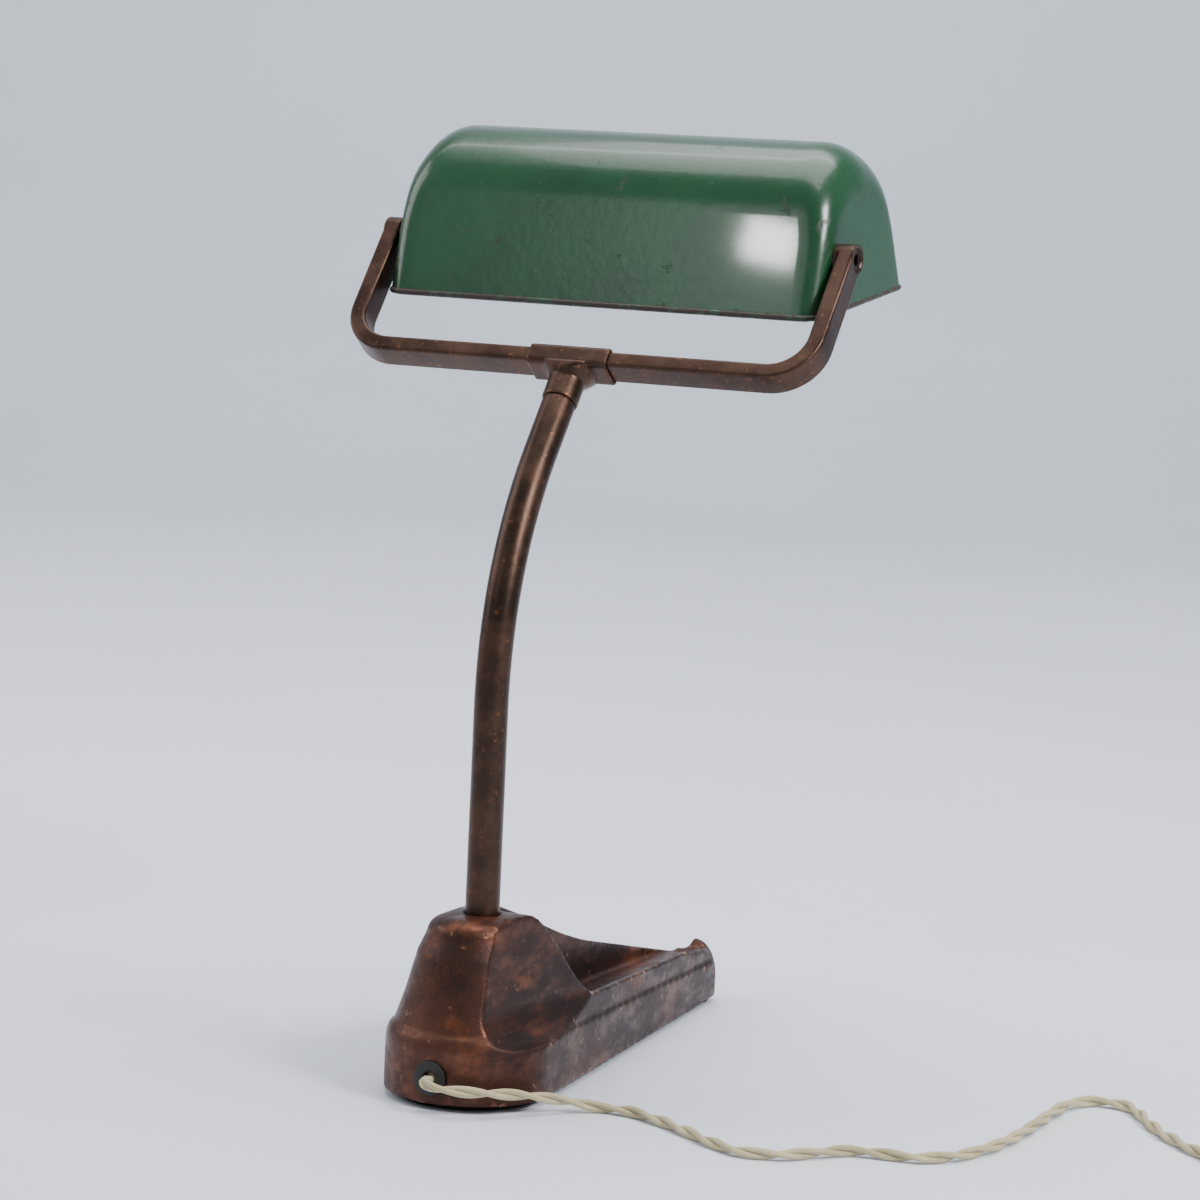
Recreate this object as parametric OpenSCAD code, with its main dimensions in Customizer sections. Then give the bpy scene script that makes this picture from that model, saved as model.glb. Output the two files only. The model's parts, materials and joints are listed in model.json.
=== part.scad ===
// Desk lamp with a green enamelled trough shade in a U-shaped yoke, a bent tube stem
// and a cast base with a pen tray.
// The lamp's front is -Y, its length runs along Y and the shade's length along X.
// Origin: centre of the lamp's bounding box, on the surface that it stands on.

/* [Base] */
// Length of the base from back to nose
base_len = 303; // [270:1:340]
// Radius of the base's round back
back_r = 39; // [34:1:45]
// Radius of the base's narrow nose
nose_r = 13; // [11:1:16]
// Height of the upright band around the base, up to the seam
band_top = 26; // [22:1:30]
// Gap between the casting's rim and the floor, filled by the pad and the foot
rim_gap = 3; // [2:0.5:5]
// Height of the hump that holds the stem
hump_top = 84; // [80:1:92]
// Distance of the hump's flat cheek from the stem, near the top
cheek_half = 17; // [15:0.5:20]
// Height of the tray's rim where it leaves the hump
tray_rim_back = 39.5; // [36:0.5:44]
// Height of the tray's rim at the nose
tray_rim_front = 32; // [30:0.5:34]
// Height of the tray's far wall halfway along the base
far_wall_mid = 54; // [46:1:56]
// Height of the tray's far wall at the nose
far_wall_front = 24; // [23:0.5:28]
// Depth of the pen tray's floor below the rim at the nose
tray_depth = 6; // [5:0.5:8]
// Thickness of the tray's rim
tray_rim = 3.5; // [2.5:0.5:5]
// Wall of the hollow casting
cast_wall = 6; // [4:0.5:8]
// Distance of the stem in front of the centre of the base's round back
stem_forward = 7; // [5:0.5:9]

/* [Stem] */
// Outside diameter of the stem tube
stem_d = 16; // [14:0.5:18]
// Inside diameter of the stem tube
stem_bore = 9; // [7:0.5:10]
// Diameter of the threaded spigots at both ends of the stem
spigot_d = 13; // [12:0.5:13.5]
// Height at which the stem starts to bend forward
bend_z = 179; // [150:1:210]
// Radius of the bend on the stem's centre line
bend_r = 188; // [150:1:220]
// Angle of the bend, which is also the forward tilt of the yoke
bend_a = 38; // [30:1:45]
// Straight length of the stem from the bend to the yoke's bar
stem_top_len = 50.6; // [42:0.2:60]

/* [Yoke] */
// Depth of the flat yoke bar, across the plane of the U
bar_w = 14.5; // [13:0.5:18]
// Thickness of the flat yoke bar, in the plane of the U
bar_t = 8; // [7:0.5:10]
// Wall of the hollow yoke bar
bar_wall = 1.5; // [1:0.25:2]
// Radius of the yoke's corners on the bar's centre line
yoke_corner_r = 21; // [15:1:26]
// Distance from the yoke's bar to the pivot axis
arm_h = 70; // [64:1:80]
// Length of the tee's barrel along the bar
tee_len = 41; // [36:1:48]
// Outside diameter of the tee's branch
tee_branch_d = 17.4; // [17:0.2:20]

/* [Shade] */
// Length of the shade
shade_len = 226; // [190:1:270]
// Width of the shade's open underside
shade_w = 114; // [104:1:130]
// Height of the shade above its open underside
shade_h = 76; // [70:1:84]
// Slope of the shade's sides from the vertical
shade_slope = 20; // [14:1:24]
// Thickness of the enamelled sheet
shade_wall = 1.5; // [1:0.25:2]
// Height of the pivot axis above the shade's open underside
pivot_up = 26; // [22:1:32]
// Distance of the pivot axis behind the middle of the shade
pivot_back = 31; // [20:1:32]
// Tilt of the shade at rest, front edge up
shade_tilt = 7; // [0:1:12]

/* [Pivots] */
// Thickness of the washers between the shade and the yoke
washer_t = 1.8; // [1:0.1:3]
// Outside diameter of the hollow pivot that carries the lamp holder
nipple_d = 8; // [7:0.5:9]
// Bore of the hollow pivot
nipple_bore = 5.6; // [4.6:0.2:6]
// Diameter of the other pivot screw's shank
screw_d = 5; // [4:0.5:6]
// Radial running clearance in the yoke's two pivot bores
run_fit = 0.05; // [0.02:0.01:0.1]
// Free gap between pieces that turn past each other
free_gap = 0.3; // [0.3:0.05:0.6]

/* [Lamp holder and bulb] */
// Outside diameter of the lamp holder
holder_d = 38; // [34:1:42]
// Length of the lamp holder
holder_len = 47; // [44:1:54]
// Distance of the holder's back from the inside of the shade's end
holder_off = 18; // [16:1:24]
// Inside diameter of the holder's screw sleeve
sleeve_d = 27; // [26.9:0.1:27.6]
// Outside diameter of the bulb's screw cap
cap_d = 26; // [25:0.1:26.4]
// Diameter of the bulb's globe
bulb_d = 60; // [50:1:62]
// Length of the bulb from its tip contact to the top of the globe
bulb_len = 104; // [95:1:110]
// Thickness of the bulb's glass
glass_t = 0.8; // [0.6:0.1:1.2]

/* [Cord] */
// Diameter of the twisted pair over both strands
cord_d = 5.4; // [5:0.2:6.6]
// Height of the cord's outlet in the back of the base
outlet_z = 15; // [13:0.5:17]
// Diameter of the plug's body
plug_d = 32; // [28:1:36]
// Length of the plug's body
plug_len = 40; // [34:1:46]

/* [Hidden] */
$fn = 64;
eps = 0.01;
over = 1;

// Plan of the base
back_y = base_len / 2 - back_r;
nose_y = -base_len / 2 + nose_r;
taper_a = asin((back_r - nose_r) / (back_y - nose_y));
stem_y = back_y - stem_forward;

// Where the stem's bend ends, where the yoke's bar lies and where the pivot axis lies
bend_end = [0, stem_y - bend_r * (1 - cos(bend_a)), bend_z + bend_r * sin(bend_a)];
up_dir = [0, -sin(bend_a), cos(bend_a)];
bar_at = bend_end + up_dir * stem_top_len;
pivot_at = bar_at + up_dir * arm_h;

// Widths across the yoke
shade_half = shade_len / 2;
arm_in = shade_half + washer_t + free_gap;
arm_mid = arm_in + bar_t / 2;
arm_out = arm_in + bar_t;
bar_round = 1.6;

// The hump: band, shoulder, bell-shaped back and cheeks
shoulder_z = band_top + 3;
bell_top_r = 12;
cheek_draft = 6;
cove_r = 18;
cove_z = 46;
saddle_floor = 64;
hump_bore_r = 12.5;
hump_front = 8;
ramp_len = 56;
ramp_steps = 18;
seam_back = 29;
seam_front = 21;
seam_from = 90;
far_from = 80;
far_len = 128;
far_inner = 11;
far_lean = 0.1;
nose_low = 13;
nose_draw = 0.9;
nose_turn = 16;
nose_dip = 9;
cheek_turn = 7;
cove_steps = 14;

// Stem joints: a counterbore takes the tube, its spigot goes through to a nut
socket_depth = 9;
socket_gap = 0.4;
spigot_fit = 0.1;
stem_seat = hump_top - socket_depth;
nut_h = 8;
washer_h = 1.5;
spigot_end = saddle_floor - washer_h - nut_h - 2;
tee_drop = 22;
seam_step = 0.02;
seam_lap = 0.5;
tee_spigot = 12;

// Cavity, cover and screws under the base
recess_top = 16;
cavity_front = 0.72;
plate_t = 1.5;
plate_gap = 0.6;
screw_r = 2;
screw_head_r = 3.6;
cover_screws_at = [[back_r * 0.46, back_y + 5, 0], [0, nose_y + base_len * 0.36, 0]];
outlet_r = 6.5;
grommet_lip = 1.2;

// The shade's section: straight sides and a round top
shade_top_r = (shade_w / 2 - shade_h * tan(shade_slope))
    / (cos(shade_slope) - tan(shade_slope) * (1 - sin(shade_slope)));

// Places along the lamp holder's axis, from the shade's end towards its middle
inner_face = -shade_half + shade_wall;
nipple_nut_h = 3;
bracket_t = 2;
bracket_w = 16;
bracket_edge = 8.5;
nipple_end = inner_face + bracket_t + nipple_nut_h + 3;
wire_r = 1.2;
wire_turn = 4;
holder_from = inner_face + holder_off;
holder_wall = 2.2;
cap_len = 17;
core_from = holder_from + cap_len;
core_len = 8;
tip_x = core_from + core_len + 3;
nipple_head_r = 5.4;
nipple_head_h = 1.6;
recess_r = 6;
recess_h = 2.6;
dome_r = 4.6;
dome_h = 2;
key_x = holder_from + 9;
key_shaft_r = 2.2;

// The cord: its route runs over the floor to the coil, and from the coil to the plug
cord_r = cord_d / 2;
cord_z = 2.8;
coil_at = [-395, 35, 0];
coil_mid_r = 33.6;
coil_w = 22.2;
coil_h = 11;
coil_round = 4;
plug_at = [-450, 8, 16];
pin_r = 2.4;
pin_len = 19;
pin_pitch = 19;
route = [[0, 152, 15], [0, 157, 15], [-3, 161, 14.5], [-9, 161.5, 13.5], [-18, 157, 12.5],
    [-28, 149.5, 11.5], [-38, 138, 10], [-47, 126, 7.5], [-56, 116.5, 5], [-66, 110, cord_z],
    [-77, 108, cord_z], [-90, 111.5, cord_z], [-102, 117.5, cord_z], [-116, 126, cord_z],
    [-130, 135.5, cord_z], [-144, 143.5, cord_z], [-156, 145.5, cord_z], [-168, 141, cord_z],
    [-178, 131, cord_z], [-187, 119.5, cord_z], [-198, 113, cord_z], [-212, 112, cord_z],
    [-225, 107, cord_z], [-234, 96, cord_z], [-240, 80, cord_z], [-243.5, 60, cord_z],
    [-244.5, 38, cord_z], [-244, 16, cord_z], [-243.5, -6, cord_z], [-244, -24, cord_z],
    [-248.5, -36, cord_z], [-258.5, -42, cord_z], [-270, -38.5, cord_z], [-278, -29, cord_z],
    [-287, -15, cord_z], [-298, 0, cord_z], [-311, 14, cord_z], [-325, 27, cord_z],
    [-340, 41, cord_z], [-354, 54, cord_z], [-363, 62, cord_z]];
plug_route = [[-425, 64, 10], [-434, 55, 10.2], [-441, 45, 11.2], [-446, 34, 12.8],
    [-449, 23, 14.8], [-450, 14, 16], [-450, 8, 16]];

// ---- shared shapes ----

// Plan of the base, drawn in by an inset
module base_plan(inset = 0) {
    rb = back_r - inset;
    rn = nose_r - inset;
    translate([0, back_y]) circle(rb, $fn = 96);
    translate([0, nose_y]) circle(rn);
    polygon([for (p = [[1, rb, back_y], [1, rn, nose_y], [-1, rn, nose_y], [-1, rb, back_y]])
        [p[0] * p[1] * cos(taper_a), p[2] - p[1] * sin(taper_a)]]);
}

// A rectangle with rounded corners, centred
module soft_rect(w, h, r) {
    square([w - 2 * r, h], center = true);
    square([w, h - 2 * r], center = true);
    for (sx = [-1, 1], sy = [-1, 1])
        translate([sx * (w / 2 - r), sy * (h / 2 - r)]) circle(r, $fn = 32);
}

// A rod that follows the stem, from a height up to a distance past the bend.
// Its last straight is a hair thicker, so that it joins the bend cleanly.
module along_stem(r, from_z, past_bend, dx = 0) {
    translate([dx, stem_y, from_z]) cylinder(r = r, h = bend_z - from_z);
    translate([dx, stem_y - bend_r, bend_z]) rotate([90, 0, 90])
        rotate_extrude(angle = bend_a, $fn = 180) translate([bend_r, 0]) circle(r, $fn = 48);
    translate([dx, bend_end[1], bend_end[2]]) rotate([bend_a, 0, 0])
        translate([0, 0, -seam_lap]) cylinder(r = r + seam_step, h = past_bend + seam_lap);
}

// The yoke's frame: X along the bar, Z up the arms
module in_yoke() {
    translate(bar_at) rotate([bend_a, 0, 0]) children();
}

// The shade's frame: origin on the pivot axis, tilted as it stands at rest
module in_shade() {
    translate(pivot_at) rotate([-shade_tilt, 0, 0]) children();
}

// A piece turned about the pivot axis, from its profile [radius, distance]
module on_pivot_axis(at_x) {
    translate([at_x, 0, 0]) rotate([0, 90, 0]) children();
}

// The lamp holder's frame: Z along its axis, from the shade's end towards the middle
module on_holder_axis(at_x) {
    in_shade() translate([at_x, -pivot_back, 0]) rotate([0, 90, 0]) children();
}

// The flat bar of the yoke, bent to a U
module yoke_bar(w, t, r, arm_top) {
    half = arm_mid - yoke_corner_r;
    translate([-half, 0, 0]) rotate([0, 90, 0]) linear_extrude(2 * half) soft_rect(t, w, r);
    for (s = [0, 1]) mirror([s, 0, 0]) {
        translate([half, 0, yoke_corner_r]) rotate([90, 0, 0]) rotate([0, 0, -90])
            rotate_extrude(angle = 90, $fn = 96) translate([yoke_corner_r, 0]) soft_rect(t, w, r);
        translate([arm_mid, 0, yoke_corner_r]) linear_extrude(arm_top - yoke_corner_r)
            soft_rect(t, w, r);
    }
}

// The shade's section, standing on its open side, drawn in by an inset
module shade_section(inset = 0, below = 0) {
    half = shade_w / 2 - inset / cos(shade_slope);
    top_r = shade_top_r - inset;
    centre = shade_h - shade_top_r;
    wide = top_r * cos(shade_slope);
    high = centre + top_r * sin(shade_slope);
    foot = half + below * tan(shade_slope);
    intersection() {
        union() {
            translate([0, centre]) circle(top_r, $fn = 128);
            polygon([[-foot, -below], [foot, -below], [wide, high], [-wide, high]]);
        }
        translate([-shade_w, -below]) square([2 * shade_w, shade_h + below]);
    }
}

// Position, direction and frame along a list of points
function along(pts, i) = pts[min(i + 1, len(pts) - 1)] - pts[max(i - 1, 0)];
function unit(v) = v / norm(v);
function ring(pts, i, r, sides) =
    let (t = unit(along(pts, i)), side = unit(cross([0, 0, 1], t)), up = cross(t, side))
    [for (k = [0:sides - 1]) let (a = 360 * k / sides)
        pts[i] + r * (cos(a) * side + sin(a) * up)];

// A tube swept along points that never run upright
module swept_tube(pts, r, sides) {
    n = len(pts);
    skin = [for (i = [0:n - 1]) each ring(pts, i, r, sides)];
    walls = [for (i = [0:n - 2], k = [0:sides - 1])
        [i * sides + k, i * sides + (k + 1) % sides,
            (i + 1) * sides + (k + 1) % sides, (i + 1) * sides + k]];
    ends = [[for (k = [sides - 1:-1:0]) k], [for (k = [0:sides - 1]) (n - 1) * sides + k]];
    polyhedron(skin, concat([for (w = walls) [w[3], w[2], w[1], w[0]]],
        [for (e = ends) [for (k = [sides - 1:-1:0]) e[k]]]));
}

// ---- base ----

// Height of the base's top line at a distance in front of the stem
function ramp(f) = (1 + cos(180 * f)) / 2;
function rim_z(y) = tray_rim_front + (tray_rim_back - tray_rim_front)
    * (y - nose_y) / (stem_y - hump_front - ramp_len - nose_y);
top_line = concat(
    [[base_len / 2 + over, hump_top], [stem_y - hump_front, hump_top]],
    [for (i = [1:ramp_steps - 1]) let (f = i / ramp_steps, y = stem_y - hump_front - f * ramp_len)
        [y, rim_z(y) + (hump_top - rim_z(stem_y - hump_front)) * ramp(f)]],
    [[stem_y - hump_front - ramp_len, tray_rim_back], [-base_len / 2 - over, rim_z(-base_len / 2)]]);

// Height of the far wall's top line: a straight slope that sweeps up to the hump
function far_z(y) = far_wall_front + (far_wall_mid - far_wall_front) * (y - nose_y) / -nose_y;
far_line = concat(
    [[base_len / 2 + over, hump_top], [far_from, hump_top]],
    [for (i = [1:ramp_steps - 1]) let (f = i / ramp_steps, y = far_from - f * far_len)
        [y, far_z(y) + (hump_top - far_z(far_from)) * ramp(f)]],
    [[far_from - far_len, far_z(far_from - far_len)],
        [-base_len / 2 - over, far_z(-base_len / 2 - over)]]);

// Half profile of the bell: straight flank, round top edge and a shoulder down to the band
bell_line = concat(
    [[0, band_top - over], [back_r, band_top - over], [back_r, band_top]],
    [for (i = [0:6]) let (a = 90 * i / 6)
        [back_r - 3.4 * (1 - cos(a)), band_top + (shoulder_z + 5 - band_top) * sin(a)]],
    [[back_r - 8, 48], [back_r - 13, 67], [back_r - 17, 76]],
    [for (i = [1:5]) let (a = 90 * i / 5)
        [back_r - 17 - (back_r - 17 - bell_top_r) * (1 - cos(a)), 76 + (hump_top - 76) * sin(a)]],
    [[0, hump_top]]);

// Space beside the flat cheek: an upright face that sweeps out to the band in a cove
module cheek_cut() {
    foot_x = cheek_half + (hump_top - cove_z) * tan(cheek_draft);
    cove = [for (i = [0:cove_steps]) let (a = 84 * i / cove_steps)
        [foot_x + cove_r * (1 - cos(a)), cove_z - cove_r * sin(a)]];
    translate([0, back_y + 6, 0]) rotate([90, 0, cheek_turn]) translate([0, 0, -base_len])
        linear_extrude(2 * base_len) polygon(concat([[cheek_half, hump_top + over]], cove,
            [[2 * back_r, cove_z - cove_r * sin(84)], [2 * back_r, hump_top + over]]));
}

// Everything below a line along the base, as wide as the base
module under_line(line, low) {
    translate([-back_r - over, 0, 0]) rotate([90, 0, 90]) linear_extrude(2 * (back_r + over))
        polygon(concat([[-base_len / 2 - over, low], [base_len / 2 + over, low]], line));
}

// The upright band, whose top edge slopes down to the nose
module band() {
    intersection() {
        translate([0, 0, rim_gap]) linear_extrude(hump_top) base_plan();
        under_line([[base_len / 2 + over, band_top], [back_y, band_top], [seam_from, seam_back],
            [-base_len / 2 - over, seam_front]], rim_gap - over);
    }
}

// A slice along the base on the far side of the far wall's leaning inner face
module beyond_inner_face(from_y, to_y, low) {
    translate([0, to_y, 0]) rotate([90, 0, 0]) linear_extrude(to_y - from_y)
        polygon([[far_inner + far_lean * (low - seam_front), low], [2 * back_r, low],
            [2 * back_r, hump_top + over],
            [far_inner + far_lean * (hump_top + over - seam_front), hump_top + over]]);
}

module hump_and_tray() {
    low = seam_front - over;
    translate([0, back_y, 0]) rotate_extrude($fn = 96) polygon(bell_line);
    intersection() {
        translate([0, 0, low]) linear_extrude(hump_top) base_plan(1.5);
        translate([-back_r, -base_len, 0]) cube([2 * back_r, base_len + back_y, hump_top]);
        union() {
            difference() {
                under_line(top_line, low);
                beyond_inner_face(-base_len / 2 - over, 0, low - over);
            }
            intersection() {
                under_line(far_line, low);
                beyond_inner_face(-base_len / 2, back_y, low);
            }
        }
    }
}

// The far flank leans in like the bell behind it, and the far rim dips below the near one
module far_cut() {
    peak = tray_rim_front + over;
    translate([0, back_y, 0]) rotate([90, 0, 0]) linear_extrude(base_len)
        polygon(concat([for (i = [2:len(bell_line) - 1]) bell_line[i]],
            [[0, hump_top + over], [2 * back_r, hump_top + over], [2 * back_r, band_top]]));
    translate([nose_r / 2, 0, 0]) rotate([90, 0, 90]) linear_extrude(2 * back_r)
        polygon([[-base_len / 2 - over, far_z(-base_len / 2 - over)], [far_from - far_len,
            far_z(far_from - far_len)], [far_from - far_len, hump_top], [-base_len, hump_top]]);
    translate([0, nose_y + 4, 0]) rotate([90, 0, 0]) linear_extrude(3 * nose_r)
        polygon(concat([for (i = [0:6]) let (a = 15 * i)
            [nose_dip * (1 - cos(a)), peak - (peak - far_wall_front) * sin(a)]],
            [[2 * nose_r, far_wall_front], [2 * nose_r, hump_top], [0, hump_top]]));
}

// The tray's hollow: a floor that sweeps up at both ends, bounded by the far wall's inner face
module tray_pocket() {
    floor_z = tray_rim_front - tray_depth;
    back = stem_y - hump_front - ramp_len + 10;
    front = nose_y + 2;
    difference() {
        intersection() {
            translate([0, 0, floor_z]) linear_extrude(hump_top) base_plan(1.5 + tray_rim);
            translate([-back_r, 0, 0]) rotate([90, 0, 90]) linear_extrude(2 * back_r)
                polygon([[front + 8, floor_z], [back - 8, floor_z], [back - 3, floor_z + 3],
                    [back, floor_z + 8], [back, hump_top + over], [front - 4, hump_top + over],
                    [front - 4, floor_z + 6], [front, floor_z + 2]]);
        }
        beyond_inner_face(-base_len / 2, back_y, floor_z - over);
    }
}

// Space around the nose, whose upper part draws in from all sides to a pointed lip
module nose_cut() {
    skin = [for (i = [0:8]) let (a = 9 * i)
        [nose_r * (1 - nose_draw * (1 - cos(a))), nose_low + (tray_rim_front - nose_low) * sin(a)]];
    space = concat(skin, [[0, tray_rim_front + over], [0, hump_top], [2 * nose_r, hump_top],
        [2 * nose_r, nose_low]]);
    translate([0, nose_y, 0]) intersection() {
        rotate_extrude() polygon(space);
        translate([-base_len, -base_len, 0]) cube([2 * base_len, base_len, hump_top]);
    }
    for (s = [0, 1]) mirror([s, 0, 0]) translate([0, nose_y, 0]) rotate([90, 0, 180 - nose_turn])
        linear_extrude(3 * nose_r) mirror([1, 0]) polygon(space);
}

module base_cavity() {
    back_part = base_len * cavity_front;
    intersection() {
        translate([0, 0, -over]) linear_extrude(recess_top + over) base_plan(cast_wall);
        translate([-back_r, base_len / 2 - back_part, -over])
            cube([2 * back_r, back_part, hump_top]);
    }
    translate([0, stem_y, -over]) cylinder(r = hump_bore_r, h = saddle_floor + over);
}

module base_casting() {
    color([0.36, 0.22, 0.15]) difference() {
        union() {
            difference() {
                union() {
                    band();
                    hump_and_tray();
                }
                mirror([1, 0, 0]) cheek_cut();
                far_cut();
                tray_pocket();
                nose_cut();
                base_cavity();
            }
            for (p = cover_screws_at) translate(p + [0, 0, rim_gap + plate_t])
                cylinder(r = 5, h = recess_top - rim_gap);
        }
        translate([0, stem_y, stem_seat]) cylinder(r = stem_d / 2 + socket_gap, h = hump_top);
        translate([0, stem_y, 0]) cylinder(r = spigot_d / 2 + spigot_fit, h = hump_top);
        translate([0, back_y, outlet_z]) rotate([-90, 0, 0])
            cylinder(r = outlet_r + spigot_fit, h = back_r + over);
        for (p = cover_screws_at) translate(p) cylinder(r = screw_r, h = recess_top - 3);
    }
}

module cover_plate() {
    back_part = base_len * cavity_front - plate_gap;
    color("dimgray") difference() {
        translate([0, 0, rim_gap]) linear_extrude(plate_t - eps) intersection() {
            base_plan(cast_wall + plate_gap);
            translate([-back_r, base_len / 2 - back_part]) square([2 * back_r, back_part]);
        }
        for (p = cover_screws_at) translate(p) cylinder(r = screw_r + 0.3, h = hump_top);
    }
}

module cover_screws() {
    color("silver") for (p = cover_screws_at) translate(p) {
        translate([0, 0, rim_gap - 1.4]) cylinder(r = screw_head_r, h = 1.4);
        translate([0, 0, rim_gap - eps]) cylinder(r = screw_r - 0.02, h = 8);
    }
}

module base_pad() {
    color([0.06, 0.06, 0.06]) difference() {
        translate([0, back_y, 0]) cylinder(r = back_r - cast_wall - 1, h = rim_gap, $fn = 96);
        translate(cover_screws_at[0] - [0, 0, over]) cylinder(r = screw_head_r + 1, h = 2 * rim_gap);
    }
}

module front_foot() {
    color([0.05, 0.05, 0.05]) translate([0, nose_y, 0])
        cylinder(r1 = nose_r - 3.5, r2 = nose_r - 3, h = rim_gap);
}

module cord_grommet() {
    hole = cord_r + 0.2;
    color([0.08, 0.07, 0.06]) translate([0, back_y, outlet_z]) rotate([-90, 0, 0])
        rotate_extrude() polygon([[hole, back_r - cast_wall - 1], [outlet_r, back_r - cast_wall - 1],
            [outlet_r, back_r + 0.2], [outlet_r + 1.5, back_r + 0.2],
            [outlet_r + 1.5, back_r + 0.8], [outlet_r + 0.6, back_r + grommet_lip],
            [hole + 0.6, back_r + grommet_lip], [hole, back_r + 0.4]]);
}

// A bent strap on the cover plate that grips the lead behind the outlet
module cord_clamp() {
    color("silver") translate([0, back_y + 13, rim_gap + plate_t]) difference() {
        union() {
            translate([-12, -4, 0]) cube([24, 8, 1.2]);
            translate([-5.5, -4, 0]) cube([11, 8, outlet_z - rim_gap - plate_t - cord_r]);
        }
        translate([9, 0, -over]) cylinder(r = 1.6, h = 5);
    }
}

module clamp_screw() {
    color("goldenrod") translate([9, back_y + 13, rim_gap + plate_t + 1.2]) {
        cylinder(r = 2.8, h = 1.8);
        translate([0, 0, -1.2]) cylinder(r = 1.58, h = 1.3);
    }
}

// The lead inside the base: in from the outlet and up to the foot of the stem
module base_lead() {
    turn_r = 9;
    top = spigot_end - 1;
    lead_r = cord_r - 0.3;
    color([0.85, 0.82, 0.7]) {
        translate([0, stem_y + turn_r, outlet_z]) rotate([-90, 0, 0])
            cylinder(r = lead_r, h = base_len / 2 - 1.5 - stem_y - turn_r);
        translate([0, stem_y + turn_r, outlet_z + turn_r]) rotate([90, 0, 90])
            rotate([0, 0, 180]) rotate_extrude(angle = 90) translate([turn_r, 0])
                circle(lead_r);
        translate([0, stem_y, outlet_z + turn_r]) cylinder(r = lead_r, h = top - outlet_z - turn_r);
    }
}

// ---- stem ----

module stem_tube() {
    color([0.2, 0.15, 0.12]) difference() {
        union() {
            along_stem(stem_d / 2, stem_seat, stem_top_len - tee_drop);
            translate([0, stem_y, spigot_end])
                cylinder(r = spigot_d / 2, h = stem_seat - spigot_end + over);
            in_yoke() translate([0, 0, -tee_drop - over])
                cylinder(r = spigot_d / 2, h = tee_spigot + over);
        }
        along_stem(stem_bore / 2, spigot_end - over, stem_top_len - 2);
    }
}

module stem_washer() {
    color("silver") translate([0, stem_y, saddle_floor - washer_h]) difference() {
        cylinder(r = 11.5, h = washer_h - eps);
        translate([0, 0, -over]) cylinder(r = spigot_d / 2 + 0.02, h = washer_h + 2 * over);
    }
}

module stem_nut() {
    color("silver") translate([0, stem_y, saddle_floor - washer_h - nut_h]) difference() {
        cylinder(r = 11.5, h = nut_h - eps, $fn = 6);
        translate([0, 0, -over]) cylinder(r = spigot_d / 2 + 0.02, h = nut_h + 2 * over);
    }
}

module stem_wires() {
    color([0.8, 0.75, 0.6]) for (s = [-1, 1])
        along_stem(1.5, spigot_end, stem_top_len - 4, s * 1.9);
}

// ---- yoke ----

module tee_fitting() {
    fit = 0.02;
    color([0.17, 0.13, 0.11]) in_yoke() difference() {
        union() {
            translate([-tee_len / 2, 0, 0]) rotate([0, 90, 0]) linear_extrude(tee_len)
                soft_rect(bar_t + 3, bar_w + 3, 2.4);
            translate([0, 0, -tee_drop]) cylinder(r = tee_branch_d / 2, h = tee_drop);
            translate([0, 0, -bar_t / 2 - 6.5])
                cylinder(r1 = tee_branch_d / 2, r2 = tee_branch_d / 2 + 5, h = 6);
        }
        translate([-tee_len, 0, 0]) rotate([0, 90, 0]) linear_extrude(2 * tee_len)
            soft_rect(bar_t + 2 * fit, bar_w + 2 * fit, bar_round);
        translate([0, 0, -tee_drop - over]) cylinder(r = spigot_d / 2 + fit, h = tee_drop);
        for (s = [-1, 1]) translate([0, s * (bar_w / 2 + 9), 0]) cube([60, 12, 40], center = true);
        translate([tee_len / 2 - 7, 0, bar_t / 2]) cylinder(r = 2, h = 5);
    }
}

// Grub screw that locks the bar in the tee
module tee_screw() {
    color([0.25, 0.22, 0.2]) in_yoke() translate([tee_len / 2 - 7, 0, bar_t / 2 + 0.05])
        difference() {
            cylinder(r = 1.98, h = 1.5);
            translate([-3, -0.4, 1]) cube([6, 0.8, 1]);
        }
}

module yoke_tube() {
    void_top = arm_h - bar_w / 2 - 3;
    color([0.2, 0.14, 0.11]) in_yoke() difference() {
        union() {
            yoke_bar(bar_w, bar_t, bar_round, arm_h);
            for (s = [-1, 1]) translate([s * arm_mid, 0, arm_h]) rotate([0, 90, 0])
                cylinder(r = bar_w / 2, h = bar_t, center = true);
        }
        yoke_bar(bar_w - 2 * bar_wall, bar_t - 2 * bar_wall, bar_round - 0.6, void_top);
        translate([0, 0, -bar_t]) cylinder(r = stem_bore / 2, h = bar_t);
        translate([-arm_out - over, 0, arm_h]) rotate([0, 90, 0]) {
            cylinder(r = nipple_d / 2 + run_fit, h = bar_t + 2 * over);
            cylinder(r = recess_r, h = recess_h + over);
        }
        translate([arm_in - over, 0, arm_h]) rotate([0, 90, 0])
            cylinder(r = screw_d / 2 + run_fit, h = bar_t + 2 * over);
    }
}

// The pair of leads inside the yoke, from the stem to the hollow pivot's arm
module arm_lead() {
    corner = yoke_corner_r;
    color([0.8, 0.75, 0.6]) in_yoke() for (s = [-1, 1]) translate([0, s * 1.9, 0]) {
        translate([-arm_mid + corner, 0, 0]) rotate([0, 90, 0])
            cylinder(r = 1.5, h = arm_mid - corner - 5);
        translate([-arm_mid + corner, 0, corner]) rotate([90, 0, 0]) rotate([0, 0, 180])
            rotate_extrude(angle = 90) translate([corner, 0]) circle(1.5, $fn = 24);
        translate([-arm_mid, 0, corner])
            cylinder(r = 1.5, h = arm_h - bar_w / 2 - 5 - corner);
    }
}

// ---- shade ----

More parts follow.
